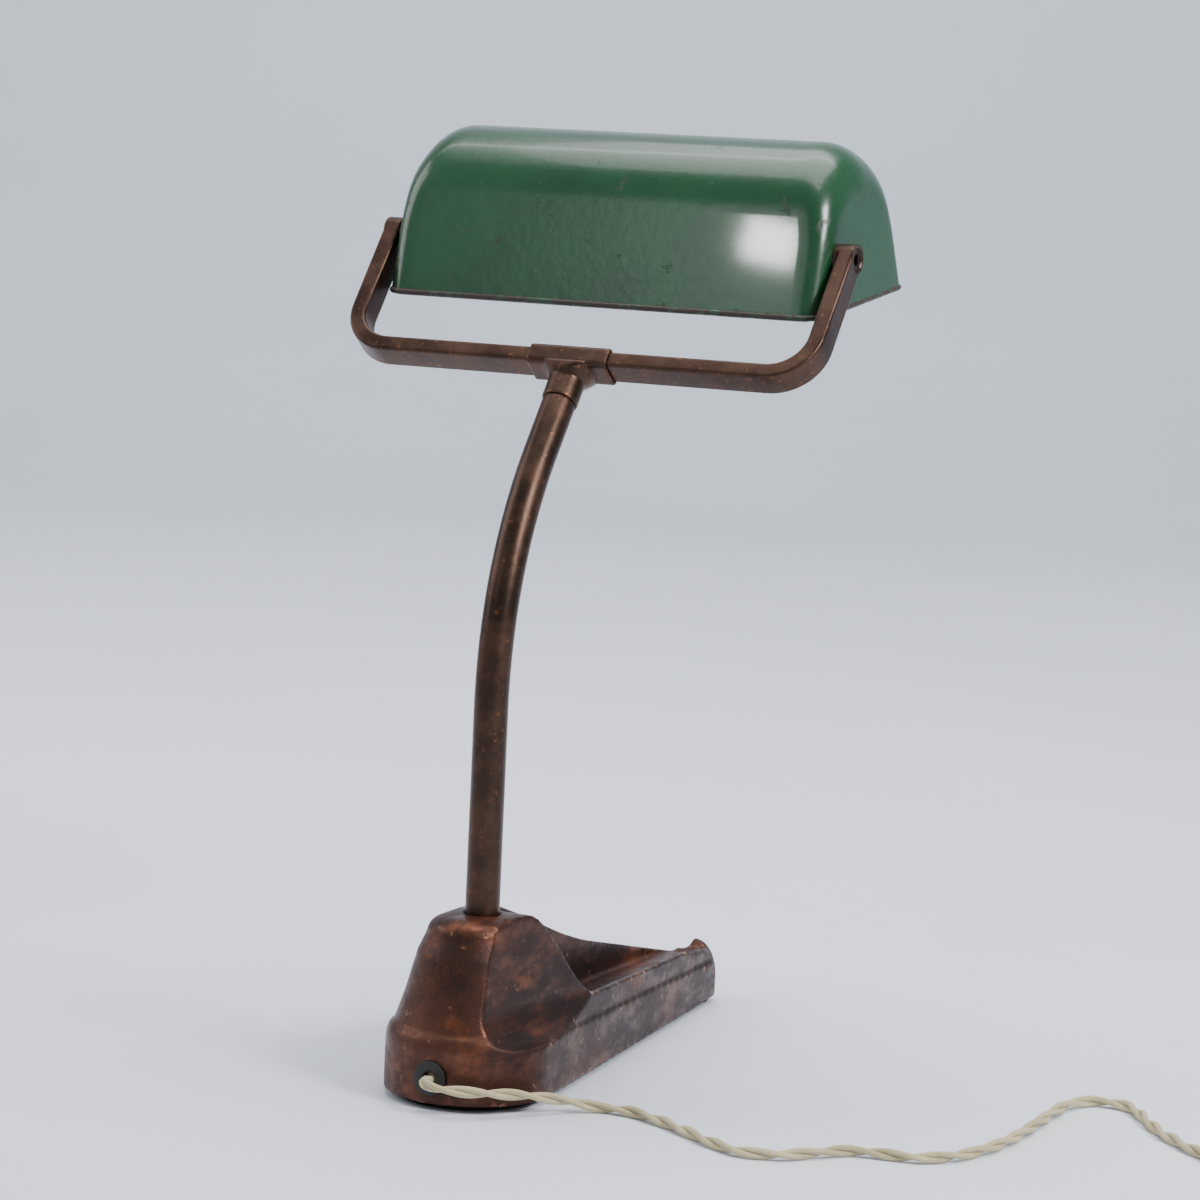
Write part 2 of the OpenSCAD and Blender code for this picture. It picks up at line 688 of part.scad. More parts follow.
module shade_shell() {
    color([0.13, 0.32, 0.23]) in_shade() difference() {
        translate([-shade_half, -pivot_back, -pivot_up]) rotate([90, 0, 90])
            linear_extrude(shade_len) shade_section();
        translate([inner_face, -pivot_back, -pivot_up]) rotate([90, 0, 90])
            linear_extrude(shade_len - 2 * shade_wall) shade_section(shade_wall, over);
        on_pivot_axis(-shade_half - over) cylinder(r = nipple_d / 2 + 0.02, h = 5);
        on_pivot_axis(shade_half - 4) cylinder(r = screw_d / 2 + 0.02, h = 5);
    }
}

// Hollow pivot: a flanged tube through the arm, the washer and the shade's end
module pivot_nipple() {
    head_at = -arm_out + recess_h - free_gap - nipple_head_h;
    color([0.45, 0.36, 0.2]) in_shade() difference() {
        union() {
            on_pivot_axis(head_at) cylinder(r = nipple_head_r, h = nipple_head_h);
            on_pivot_axis(head_at) cylinder(r = nipple_d / 2, h = nipple_end - head_at);
        }
        on_pivot_axis(head_at - over) cylinder(r = nipple_bore / 2, h = 60);
    }
}

module nipple_nut() {
    color("silver") in_shade() on_pivot_axis(inner_face + bracket_t + 2 * eps) difference() {
        cylinder(r = 7.5, h = nipple_nut_h - 0.1, $fn = 6);
        translate([0, 0, -over]) cylinder(r = nipple_d / 2 + 0.02, h = 10);
    }
}

module pivot_screw() {
    color([0.25, 0.2, 0.16]) in_shade() {
        on_pivot_axis(shade_half - shade_wall - 7)
            cylinder(r = screw_d / 2, h = arm_out + free_gap + 0.5 - shade_half + shade_wall + 7);
        on_pivot_axis(arm_out + free_gap) rotate_extrude()
            polygon(concat([[0, 0]], [for (i = [0:6]) let (a = 15 * i)
                [dome_r * cos(a), dome_h * sin(a)]]));
    }
}

module pivot_nut() {
    color("silver") in_shade() on_pivot_axis(shade_half - shade_wall - 4) difference() {
        cylinder(r = 5, h = 4 - eps, $fn = 6);
        translate([0, 0, -over]) cylinder(r = screw_d / 2 + 0.02, h = 10);
    }
}

module pivot_washers() {
    color([0.3, 0.25, 0.2]) in_shade() {
        on_pivot_axis(-shade_half - washer_t) difference() {
            cylinder(r = 7, h = washer_t - eps);
            translate([0, 0, -over]) cylinder(r = nipple_d / 2 + 0.02, h = 10);
        }
        on_pivot_axis(shade_half + eps) difference() {
            cylinder(r = 6.5, h = washer_t - eps);
            translate([0, 0, -over]) cylinder(r = screw_d / 2 + 0.02, h = 10);
        }
    }
}

// ---- lamp holder ----

// Stepped strap that carries the lamp holder from the hollow pivot to the shade's middle
module holder_bracket() {
    reach = pivot_back + 9;
    step_y = -bracket_edge - bracket_t;
    color("silver") in_shade() translate([inner_face + eps, 0, 0]) difference() {
        union() {
            translate([0, step_y, -bracket_w / 2])
                cube([bracket_t, bracket_edge - 1 - step_y, bracket_w]);
            translate([0, step_y, -bracket_w / 2]) cube([holder_off, bracket_t, bracket_w]);
            translate([holder_off - bracket_t, -reach, -bracket_w / 2])
                cube([bracket_t - 2 * eps, reach - bracket_edge, bracket_w]);
        }
        on_pivot_axis(-over) cylinder(r = nipple_d / 2 + 0.02, h = bracket_t + 2 * over);
        translate([0, -pivot_back, 0]) on_pivot_axis(holder_off - bracket_t - over)
            cylinder(r = nipple_d / 2 + 0.02, h = bracket_t + 2 * over);
        translate([holder_off - bracket_t - wire_turn, step_y - over, 0]) rotate([-90, 0, 0])
            cylinder(r = 3.5, h = bracket_t + 2 * over);
    }
}

// Flanged threaded bush that joins the holder to the strap
module holder_bush() {
    flange_x = holder_from - bracket_t - 1.2;
    color([0.72, 0.56, 0.25]) on_holder_axis(flange_x) difference() {
        union() {
            cylinder(r = nipple_d / 2 + 2, h = 1.2);
            cylinder(r = nipple_d / 2, h = holder_from + 8 - flange_x);
        }
        translate([0, 0, -over]) cylinder(r = nipple_bore / 2, h = 30);
    }
}

// The pair of leads from the hollow pivot to the holder
module shade_lead() {
    level_x = holder_from - bracket_t - wire_turn;
    start_x = inner_face + bracket_t;
    color([0.8, 0.75, 0.6]) in_shade() for (s = [-1, 1]) translate([0, 0, s * (wire_r + 0.1)]) {
        on_pivot_axis(start_x) cylinder(r = wire_r, h = level_x - wire_turn - start_x);
        translate([level_x - wire_turn, -wire_turn, 0])
            rotate_extrude(angle = 90) translate([wire_turn, 0]) circle(wire_r, $fn = 24);
        translate([level_x, -wire_turn, 0]) rotate([90, 0, 0])
            cylinder(r = wire_r, h = pivot_back - 2 * wire_turn);
        translate([level_x + wire_turn, -pivot_back + wire_turn, 0]) rotate([0, 0, 180])
            rotate_extrude(angle = 90) translate([wire_turn, 0]) circle(wire_r, $fn = 24);
        translate([0, -pivot_back, 0]) on_pivot_axis(level_x + wire_turn)
            cylinder(r = wire_r, h = 8);
    }
}

module holder_cap() {
    r = holder_d / 2;
    bore = nipple_d / 2 + 0.02;
    color([0.12, 0.08, 0.06]) on_holder_axis(holder_from) difference() {
        rotate_extrude() polygon([[bore, 0], [10, 0], [r - 4, 3], [r - 1, 8], [r, cap_len],
            [r - holder_wall, cap_len], [r - holder_wall - 1, 9], [9, 5], [bore, 8]]);
        translate([r, 0, 9]) rotate([0, -90, 0]) cylinder(r = key_shaft_r + 0.3, h = 12);
    }
}

module holder_body() {
    r = holder_d / 2;
    color([0.12, 0.08, 0.06]) on_holder_axis(core_from + eps) rotate_extrude()
        polygon([[r - holder_wall, 0], [r, 0], [r, 12], [r - 1.5, 15], [r - 1.5, holder_len - cap_len],
            [r - holder_wall - 1.5, holder_len - cap_len], [r - holder_wall - 1.5, core_len + 1],
            [r - holder_wall, core_len]]);
}

module holder_core() {
    color("ivory") on_holder_axis(core_from + eps) difference() {
        cylinder(r = holder_d / 2 - holder_wall - 0.02, h = core_len - 0.1);
        translate([0, 0, -over]) cylinder(r = 2.5, h = core_len + 2 * over);
    }
}

module screw_sleeve() {
    color([0.72, 0.56, 0.25]) on_holder_axis(core_from + core_len) difference() {
        cylinder(r = sleeve_d / 2 + 0.5, h = holder_len - cap_len - core_len - 2);
        translate([0, 0, -over]) cylinder(r = sleeve_d / 2, h = holder_len);
    }
}

module centre_contact() {
    color([0.72, 0.56, 0.25]) on_holder_axis(core_from + core_len - 4) {
        cylinder(r = 2.4, h = 4);
        translate([0, 0, 4]) cylinder(r1 = 4.5, r2 = 2, h = 2.8);
    }
}

// Turn key of the switch, under the holder's cap
module switch_key() {
    r = holder_d / 2;
    color([0.12, 0.08, 0.06]) in_shade() translate([key_x, -pivot_back, 0]) rotate([180, 0, 0]) {
        translate([0, 0, r - 6]) cylinder(r = key_shaft_r, h = 8);
        translate([0, 0, r + 0.6]) cylinder(r = 3.4, h = 1.6);
        translate([-6, -1.3, r + 1.2]) cube([12, 2.6, 6.4]);
    }
}

// ---- bulb ----

module bulb_skin(inset) {
    r = bulb_d / 2 - inset;
    centre = bulb_len - bulb_d / 2;
    neck = 12 - inset;
    polygon(concat([[0, centre + r]],
        [for (i = [1:24]) let (a = 90 - 5.6 * i) [r * cos(a), centre + r * sin(a)]],
        [[neck + 2, 31], [neck, 24], [neck, 22 + inset / 2], [0, 22 + inset / 2]]));
}

module bulb_glass() {
    color([0.9, 0.93, 0.95, 0.4]) on_holder_axis(tip_x) rotate_extrude($fn = 96)
        difference() {
            bulb_skin(0);
            bulb_skin(glass_t);
            square([6, 24]);
        }
}

module bulb_cap() {
    color([0.75, 0.72, 0.65]) on_holder_axis(tip_x + 3) rotate_extrude()
        polygon([[5, 0], [cap_d / 2 - 2, 1], [cap_d / 2, 4], [cap_d / 2, 22], [cap_d / 2 - 0.8, 22],
            [cap_d / 2 - 0.8, 4.5], [cap_d / 2 - 2.5, 2], [5, 1]]);
}

module bulb_tip() {
    color([0.6, 0.6, 0.6]) on_holder_axis(tip_x) rotate_extrude()
        polygon([[0, 0], [3, 0], [4.9, 1], [4.9, 4.5], [0, 4.5]]);
}

module bulb_mount() {
    color([0.85, 0.9, 0.92, 0.5]) on_holder_axis(tip_x + 22.1)
        cylinder(r1 = 5.9, r2 = 3, h = 28);
}

module filament() {
    lead_top = 24;
    color([0.5, 0.5, 0.5]) on_holder_axis(tip_x + 49) {
        for (s = [-1, 1]) rotate([0, s * 25, 0]) cylinder(r = 0.4, h = lead_top);
        translate([-lead_top * sin(25), 0, lead_top * cos(25)]) rotate([0, 90, 0])
            cylinder(r = 0.6, h = 2 * lead_top * sin(25));
    }
}

// ---- cord and plug ----

module cord_run() {
    color([0.84, 0.81, 0.7]) swept_tube(route, cord_r, 10);
}

module cord_coil() {
    color([0.84, 0.81, 0.7]) translate(coil_at) rotate_extrude($fn = 96)
        translate([coil_mid_r, coil_h / 2 + 0.1]) soft_rect(coil_w, coil_h, coil_round);
}

module plug_lead() {
    color([0.84, 0.81, 0.7]) swept_tube(plug_route, cord_r, 10);
}

module plug_body() {
    r = plug_d / 2;
    color([0.1, 0.07, 0.05]) translate(plug_at) rotate([90, 0, 0]) rotate_extrude()
        polygon([[0, 0], [5, 0], [6.5, 4], [8, 12], [r - 3, 18], [r, 22], [r, plug_len - 3],
            [r - 1.5, plug_len], [0, plug_len]]);
}

module plug_pins() {
    color([0.75, 0.6, 0.3]) for (s = [-1, 1]) translate(plug_at + [s * pin_pitch / 2, 0, 0])
        rotate([90, 0, 0]) translate([0, 0, plug_len]) {
            cylinder(r = pin_r, h = pin_len - 1.5);
            translate([0, 0, pin_len - 1.5]) cylinder(r1 = pin_r, r2 = pin_r - 0.9, h = 1.5);
        }
}

base_casting();
cover_plate();
cover_screws();
base_pad();
front_foot();
cord_grommet();
cord_clamp();
clamp_screw();
base_lead();
stem_tube();
stem_washer();
stem_nut();
stem_wires();
tee_fitting();
tee_screw();
yoke_tube();
arm_lead();
shade_shell();
pivot_nipple();
nipple_nut();
pivot_screw();
pivot_nut();
pivot_washers();
holder_bracket();
holder_bush();
shade_lead();
holder_cap();
holder_body();
holder_core();
screw_sleeve();
centre_contact();
switch_key();
bulb_glass();
bulb_cap();
bulb_tip();
bulb_mount();
filament();
cord_run();
cord_coil();
plug_lead();
plug_body();
plug_pins();
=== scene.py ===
# %% [markdown]
# # A desk lamp with an enamelled trough shade
#
# The lamp has a cast base with a hump and a pen tray, a bent tube stem, a flat U-shaped yoke, a green
# enamelled shade that tilts in the yoke, a lamp holder with a bulb, and a twisted cotton cord with a
# plug. The CAD model is loaded as the frame. Every piece here is made in the same frame, in metres.

import json
import math

import bmesh
import bpy
import numpy as np
from mathutils import Matrix, Vector

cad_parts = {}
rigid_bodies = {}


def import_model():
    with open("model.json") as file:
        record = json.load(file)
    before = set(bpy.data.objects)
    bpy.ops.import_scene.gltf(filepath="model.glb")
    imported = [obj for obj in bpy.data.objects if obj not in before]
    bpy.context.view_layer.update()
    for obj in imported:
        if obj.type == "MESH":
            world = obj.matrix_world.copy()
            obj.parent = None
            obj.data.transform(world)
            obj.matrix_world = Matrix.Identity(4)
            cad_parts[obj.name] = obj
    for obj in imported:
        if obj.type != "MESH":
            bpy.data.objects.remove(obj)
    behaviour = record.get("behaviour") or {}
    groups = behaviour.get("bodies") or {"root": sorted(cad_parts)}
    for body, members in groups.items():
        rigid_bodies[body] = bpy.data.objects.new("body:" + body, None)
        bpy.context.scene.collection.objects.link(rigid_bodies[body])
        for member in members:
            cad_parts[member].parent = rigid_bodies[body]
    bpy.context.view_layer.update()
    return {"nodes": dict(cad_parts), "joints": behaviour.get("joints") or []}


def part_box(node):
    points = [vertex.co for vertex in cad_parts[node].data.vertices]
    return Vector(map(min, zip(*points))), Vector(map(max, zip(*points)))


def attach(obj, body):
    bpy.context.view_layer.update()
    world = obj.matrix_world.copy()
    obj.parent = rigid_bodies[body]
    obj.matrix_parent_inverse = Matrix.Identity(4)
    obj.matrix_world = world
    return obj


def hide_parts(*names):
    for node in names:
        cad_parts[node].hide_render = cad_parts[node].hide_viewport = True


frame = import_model()
MM = 0.001

# %% [markdown]
# ## Camera
# The lamp stands with its front to -Y, and it is seen from behind and a little above, with the tray
# running away from the viewer. A long lens keeps the shade's two ends nearly the same height. The
# camera is turned a little about its own axis, as a hand-held one is.

# %% Make the camera
VIEW_FROM = Vector((-834.8, 1783.1, 454.3)) * MM
VIEW_FORWARD = Vector((0.4197, -0.9000, -0.1181)).normalized()
VIEW_UP = Vector((0.0918, -0.0874, 0.9919))
VIEW_LENS = 123.9


def make_camera():
    data = bpy.data.cameras.new("camera")
    data.sensor_width = 36
    data.lens = VIEW_LENS
    data.clip_end = 20
    right = VIEW_FORWARD.cross(VIEW_UP).normalized()
    up = right.cross(VIEW_FORWARD).normalized()
    turn = Matrix((right, up, -VIEW_FORWARD)).transposed().to_4x4()
    camera = bpy.data.objects.new("camera", data)
    camera.matrix_world = Matrix.Translation(VIEW_FROM) @ turn
    bpy.context.scene.collection.objects.link(camera)
    bpy.context.scene.camera = camera


make_camera()
print("camera with a lens of", VIEW_LENS, "mm")

# %% [markdown]
# ## Helpers for meshes
# Most pieces are meshes made from rows of points, so a few short helpers turn points into a mesh,
# set smooth shading with crisp edges, and hand the piece to the body that it moves with.


# %% Mesh helpers
def mesh_piece(name, points, faces):
    mesh = bpy.data.meshes.new(name)
    mesh.from_pydata([tuple(p) for p in points], [], faces)
    mesh.validate()
    piece = bpy.data.objects.new(name, mesh)
    bpy.context.scene.collection.objects.link(piece)
    return piece


def grid_faces(rows, columns, start=0):
    """Quads between neighbouring points of a grid, row by row."""
    faces = []
    for r in range(rows - 1):
        for c in range(columns - 1):
            corner = start + r * columns + c
            faces.append((corner, corner + 1, corner + 1 + columns, corner + columns))
    return faces


def clean(piece, distance=1e-6, outward=True):
    """Merges doubled points and, on a closed form, turns every face outwards."""
    bm = bmesh.new()
    bm.from_mesh(piece.data)
    bmesh.ops.remove_doubles(bm, verts=bm.verts, dist=distance)
    bmesh.ops.dissolve_degenerate(bm, edges=bm.edges, dist=distance / 10)
    if outward:
        bmesh.ops.recalc_face_normals(bm, faces=bm.faces)
    bm.to_mesh(piece.data)
    bm.free()
    return piece


def shade(piece, degrees):
    """Smooth shading, with an edge kept crisp where it is sharper than that angle."""
    piece.data.shade_smooth()
    piece.data.set_sharp_from_angle(angle=math.radians(degrees))
    return piece


def apply_modifiers(piece):
    """Turns what the modifiers make into the piece's own plain mesh."""
    depsgraph = bpy.context.evaluated_depsgraph_get()
    mesh = bpy.data.meshes.new_from_object(piece.evaluated_get(depsgraph))
    name, old = piece.name, piece.data
    piece.modifiers.clear()
    if piece.type == "MESH":
        piece.data = mesh
        return piece
    bpy.data.objects.remove(piece)
    bpy.data.batch_remove([old])
    mesh.name = name
    made = bpy.data.objects.new(name, mesh)
    bpy.context.scene.collection.objects.link(made)
    return made


def settle(piece, body, material, replaces=()):
    """Gives a finished piece its finish and its body, and hides the CAD nodes that it stands for."""
    if material is not None:
        piece.data.materials.clear()
        piece.data.materials.append(material)
    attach(piece, body)
    if replaces:
        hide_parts(*replaces)
    print(piece.name, "rides on", body, "with", len(piece.data.polygons), "faces")
    return piece


def node_copy(name, node):
    """A merged copy of a CAD node's mesh, as a piece of its own."""
    piece = bpy.data.objects.new(name, frame["nodes"][node].data.copy())
    piece.data.materials.clear()
    bpy.context.scene.collection.objects.link(piece)
    return clean(piece, outward=False)


# %% [markdown]
# ## Helpers for materials
# Each finish is a Principled BSDF with procedural colour, roughness and bump. Effects that several
# finishes share are node groups: a mottled mix of two colours, fine pits, and wear along edges.


# %% Node groups
def new_group(name, inputs, outputs):
    group = bpy.data.node_groups.new(name, "ShaderNodeTree")
    for label, kind, value in inputs:
        socket = group.interface.new_socket(label, in_out="INPUT", socket_type="NodeSocket" + kind)
        socket.default_value = value
    for label, kind in outputs:
        group.interface.new_socket(label, in_out="OUTPUT", socket_type="NodeSocket" + kind)
    return group, group.nodes.new("NodeGroupInput"), group.nodes.new("NodeGroupOutput")


def add(tree, kind, values=None, **settings):
    """A node with its settings and its input values, by the input's name or number."""
    node = tree.nodes.new(kind)
    for key, value in settings.items():
        setattr(node, key, value)
    for key, value in (values or {}).items():
        node.inputs[key].default_value = value
    return node


def make_mottle_group():
    """Two colours mixed in soft patches, with a patch mask beside them."""
    group, ins, outs = new_group(
        "mottle",
        [("Colour A", "Color", (0, 0, 0, 1)), ("Colour B", "Color", (1, 1, 1, 1)),
         ("Scale", "Float", 40.0), ("Balance", "Float", 0.5), ("Softness", "Float", 0.15),
         ("Stretch", "Vector", (1, 1, 1))],
        [("Colour", "Color"), ("Mask", "Float")],
    )
    place = add(group, "ShaderNodeTexCoord")
    stretch = add(group, "ShaderNodeVectorMath", operation="MULTIPLY")
    broad = add(group, "ShaderNodeTexNoise", {"Detail": 6.0, "Roughness": 0.62})
    low = add(group, "ShaderNodeMath", operation="SUBTRACT")
    high = add(group, "ShaderNodeMath", operation="ADD")
    mask = add(group, "ShaderNodeMapRange", interpolation_type="SMOOTHSTEP")
    mix = add(group, "ShaderNodeMix", data_type="RGBA")
    link = group.links.new
    link(place.outputs["Object"], stretch.inputs[0])
    link(ins.outputs["Stretch"], stretch.inputs[1])
    link(stretch.outputs[0], broad.inputs["Vector"])
    link(ins.outputs["Scale"], broad.inputs["Scale"])
    for node in (low, high):
        link(ins.outputs["Balance"], node.inputs[0])
        link(ins.outputs["Softness"], node.inputs[1])
    link(broad.outputs["Fac"], mask.inputs["Value"])
    link(low.outputs[0], mask.inputs["From Min"])
    link(high.outputs[0], mask.inputs["From Max"])
    link(mask.outputs[0], mix.inputs["Factor"])
    link(ins.outputs["Colour A"], mix.inputs[6])
    link(ins.outputs["Colour B"], mix.inputs[7])
    link(mix.outputs[2], outs.inputs["Colour"])
    link(mask.outputs[0], outs.inputs["Mask"])
    return group


def make_grain_group():
    """A fine height for a Bump node: soft swells with small pits in them."""
    group, ins, outs = new_group(
        "grain",
        [("Swell Scale", "Float", 300.0), ("Pit Scale", "Float", 900.0), ("Pit Share", "Float", 0.3)],
        [("Height", "Float")],
    )
    place = add(group, "ShaderNodeTexCoord")
    swell = add(group, "ShaderNodeTexNoise", {"Detail": 2.0, "Roughness": 0.5})
    pit = add(group, "ShaderNodeTexVoronoi", feature="F1")
    shape = add(group, "ShaderNodeMapRange", {"From Min": 0.0, "From Max": 0.45})
    mix = add(group, "ShaderNodeMix", data_type="FLOAT")
    link = group.links.new
    link(place.outputs["Object"], swell.inputs["Vector"])
    link(place.outputs["Object"], pit.inputs["Vector"])
    link(ins.outputs["Swell Scale"], swell.inputs["Scale"])
    link(ins.outputs["Pit Scale"], pit.inputs["Scale"])
    link(pit.outputs["Distance"], shape.inputs["Value"])
    link(ins.outputs["Pit Share"], mix.inputs["Factor"])
    link(swell.outputs["Fac"], mix.inputs[2])
    link(shape.outputs[0], mix.inputs[3])
    link(mix.outputs[0], outs.inputs["Height"])
    return group


def make_wear_group():
    """A ragged mask along the edges that the piece's own edge attribute marks."""
    group, ins, outs = new_group(
        "edge wear",
        [("Edge", "Float", 0.0), ("Scale", "Float", 120.0), ("Amount", "Float", 0.5)],
        [("Mask", "Float")],
    )
    place = add(group, "ShaderNodeTexCoord")
    rough = add(group, "ShaderNodeTexNoise", {"Detail": 5.0, "Roughness": 0.7})
    worn = add(group, "ShaderNodeMath", operation="MULTIPLY")
    total = add(group, "ShaderNodeMath", operation="ADD")
    mask = add(group, "ShaderNodeMapRange", {"From Min": 0.62, "From Max": 0.78},
               interpolation_type="SMOOTHSTEP")
    link = group.links.new
    link(place.outputs["Object"], rough.inputs["Vector"])
    link(ins.outputs["Scale"], rough.inputs["Scale"])
    link(ins.outputs["Edge"], worn.inputs[0])
    link(ins.outputs["Amount"], worn.inputs[1])
    link(worn.outputs[0], total.inputs[0])
    link(rough.outputs["Fac"], total.inputs[1])
    link(total.outputs[0], mask.inputs["Value"])
    link(mask.outputs[0], outs.inputs["Mask"])
    return group


MOTTLE = make_mottle_group()
GRAIN = make_grain_group()
WEAR = make_wear_group()
print("shader groups:", [group.name for group in bpy.data.node_groups])


# %% Material helpers
def srgb(red, green, blue):
    """A colour given as 0 to 255 screen levels, as Blender's linear values."""
    def linear(level):
        v = level / 255
        return v / 12.92 if v <= 0.04045 else ((v + 0.055) / 1.055) ** 2.4
    return (linear(red), linear(green), linear(blue), 1.0)


def new_material(name, **values):
    material = bpy.data.materials.new(name)
    material.use_nodes = True
    shader = material.node_tree.nodes["Principled BSDF"]
    for key, value in values.items():
        shader.inputs[key.replace("_", " ")].default_value = value
    return material, material.node_tree, shader


def place_group(tree, group, **values):
    node = tree.nodes.new("ShaderNodeGroup")
    node.node_tree = group
    for key, value in values.items():
        node.inputs[key.replace("_", " ")].default_value = value
    return node


def mix_colours(tree, factor, first, second):
    """A colour mix; factor, first and second are sockets, or colours for the last two."""
    mix = add(tree, "ShaderNodeMix", data_type="RGBA")
    tree.links.new(factor, mix.inputs["Factor"])
    for value, socket in ((first, mix.inputs[6]), (second, mix.inputs[7])):
        if isinstance(value, bpy.types.NodeSocket):
            tree.links.new(value, socket)
        else:
            socket.default_value = value
    return mix.outputs[2]


def between(tree, factor, low, high):
    """A number that goes from low to high as the factor goes from 0 to 1."""
    node = add(tree, "ShaderNodeMapRange", {"To Min": low, "To Max": high})
    tree.links.new(factor, node.inputs["Value"])
    return node.outputs[0]


def bump(tree, shader, height, distance, strength):
    node = add(tree, "ShaderNodeBump", {"Distance": distance, "Strength": strength})
    tree.links.new(height, node.inputs["Height"])
    tree.links.new(node.outputs["Normal"], shader.inputs["Normal"])


# %% [markdown]
# ## Finishes
# The shade is stove enamel: glossy, dark green, with a slight orange peel, and chipped to dark iron
# at its edges. It is white inside. The base is cast iron under a worn copper plating, and the stem
# and the yoke are dark bronzed tube. Wear follows the `edge` attribute that each piece stores.


# %% Enamel
def make_enamel(name, first, second):
    gloss = 0.27
    material, tree, shader = new_material(name, Roughness=gloss, Coat_Weight=0.22, Coat_Roughness=0.05)
    paint = place_group(tree, MOTTLE, Colour_A=first, Colour_B=second, Scale=14.0, Softness=0.25)
    edge = add(tree, "ShaderNodeAttribute", attribute_name="edge")
    chips = place_group(tree, WEAR, Scale=95.0, Amount=0.36)
    tree.links.new(edge.outputs["Fac"], chips.inputs["Edge"])
    colour = mix_colours(tree, chips.outputs["Mask"], paint.outputs["Colour"], srgb(46, 34, 27))
    tree.links.new(colour, shader.inputs["Base Color"])
    tree.links.new(between(tree, chips.outputs["Mask"], gloss, 0.75), shader.inputs["Roughness"])
    grain = place_group(tree, GRAIN, Swell_Scale=210.0, Pit_Scale=500.0, Pit_Share=0.08)
    drop = add(tree, "ShaderNodeMath", operation="SUBTRACT")
    tree.links.new(grain.outputs["Height"], drop.inputs[0])
    tree.links.new(chips.outputs["Mask"], drop.inputs[1])
    bump(tree, shader, drop.outputs[0], 0.00018, 0.5)
    return material


GREEN_ENAMEL = make_enamel("green_enamel", srgb(13, 56, 30), srgb(21, 70, 40))
WHITE_ENAMEL = make_enamel("white_enamel", srgb(222, 221, 208), srgb(232, 231, 220))


# %% Worn copper plating on cast iron
def make_copper_plate():
    material, tree, shader = new_material("worn_copper_plate", Roughness=0.42, Metallic=0.8)
    along = (1.0, 0.4, 1.0)
    broad = place_group(tree, MOTTLE, Colour_A=srgb(50, 36, 33), Colour_B=srgb(86, 54, 42),
                        Scale=22.0, Balance=0.52, Softness=0.14, Stretch=along)
    fine = place_group(tree, MOTTLE, Colour_A=srgb(42, 32, 30), Colour_B=srgb(110, 68, 50),
                       Scale=120.0, Balance=0.54, Softness=0.14, Stretch=along)
    colour = mix_colours(tree, between(tree, fine.outputs["Mask"], 0.15, 0.4),
                         broad.outputs["Colour"], fine.outputs["Colour"])
    rubbed = place_group(tree, MOTTLE, Scale=34.0, Balance=0.65, Softness=0.12, Stretch=along)
    colour = mix_colours(tree, between(tree, rubbed.outputs["Mask"], 0.0, 0.6), colour,
                         srgb(168, 98, 62))
    edge = add(tree, "ShaderNodeAttribute", attribute_name="edge")
    worn = place_group(tree, WEAR, Scale=160.0, Amount=0.34)
    tree.links.new(edge.outputs["Fac"], worn.inputs["Edge"])
    colour = mix_colours(tree, worn.outputs["Mask"], colour, srgb(196, 142, 108))
    tree.links.new(colour, shader.inputs["Base Color"])
    tree.links.new(between(tree, fine.outputs["Mask"], 0.5, 0.36), shader.inputs["Roughness"])
    grain = place_group(tree, GRAIN, Swell_Scale=220.0, Pit_Scale=750.0, Pit_Share=0.3)
    bump(tree, shader, grain.outputs["Height"], 0.0003, 0.6)
    return material


COPPER_PLATE = make_copper_plate()


# %% Dark bronzed tube, coppery where it is rubbed
def make_bronze(name, dark, rubbed):
    material, tree, shader = new_material(name, Roughness=0.38, Metallic=0.9)
    base = place_group(tree, MOTTLE, Colour_A=dark, Colour_B=srgb(82, 60, 49), Scale=60.0,
                       Balance=0.55, Softness=0.2)
    specks = place_group(tree, MOTTLE, Colour_A=dark, Colour_B=rubbed, Scale=330.0, Balance=0.66,
                         Softness=0.05)
    colour = mix_colours(tree, between(tree, specks.outputs["Mask"], 0.0, 0.55),
                         base.outputs["Colour"], rubbed)
    edge = add(tree, "ShaderNodeAttribute", attribute_name="edge")
    worn = place_group(tree, WEAR, Scale=220.0, Amount=0.3)
    tree.links.new(edge.outputs["Fac"], worn.inputs["Edge"])
    colour = mix_colours(tree, worn.outputs["Mask"], colour, rubbed)
    tree.links.new(colour, shader.inputs["Base Color"])
    tree.links.new(between(tree, base.outputs["Mask"], 0.32, 0.46), shader.inputs["Roughness"])
    grain = place_group(tree, GRAIN, Swell_Scale=500.0, Pit_Scale=1300.0, Pit_Share=0.3)
    bump(tree, shader, grain.outputs["Height"], 0.00015, 0.6)
    return material


STEM_BRONZE = make_bronze("stem_bronze", srgb(58, 45, 38), srgb(138, 88, 62))
YOKE_BRONZE = make_bronze("yoke_bronze", srgb(60, 44, 37), srgb(150, 92, 64))


# %% Plain finishes: moulding, porcelain, brass, steel, rubber, felt, glass and cotton
def make_plain(name, first, second, scale, roughness, metallic=0.0, height=0.0001):
    """A finish with two close colours in patches, uneven roughness and a fine grain."""
    material, tree, shader = new_material(name, Metallic=metallic, Roughness=roughness)
    mottle = place_group(tree, MOTTLE, Colour_A=first, Colour_B=second, Scale=scale, Softness=0.2)
    tree.links.new(mottle.outputs["Colour"], shader.inputs["Base Color"])
    uneven = between(tree, mottle.outputs["Mask"], roughness * 0.85, roughness * 1.15)
    tree.links.new(uneven, shader.inputs["Roughness"])
    grain = place_group(tree, GRAIN, Swell_Scale=scale * 6, Pit_Scale=scale * 16, Pit_Share=0.25)
    bump(tree, shader, grain.outputs["Height"], height, 0.6)
    return material


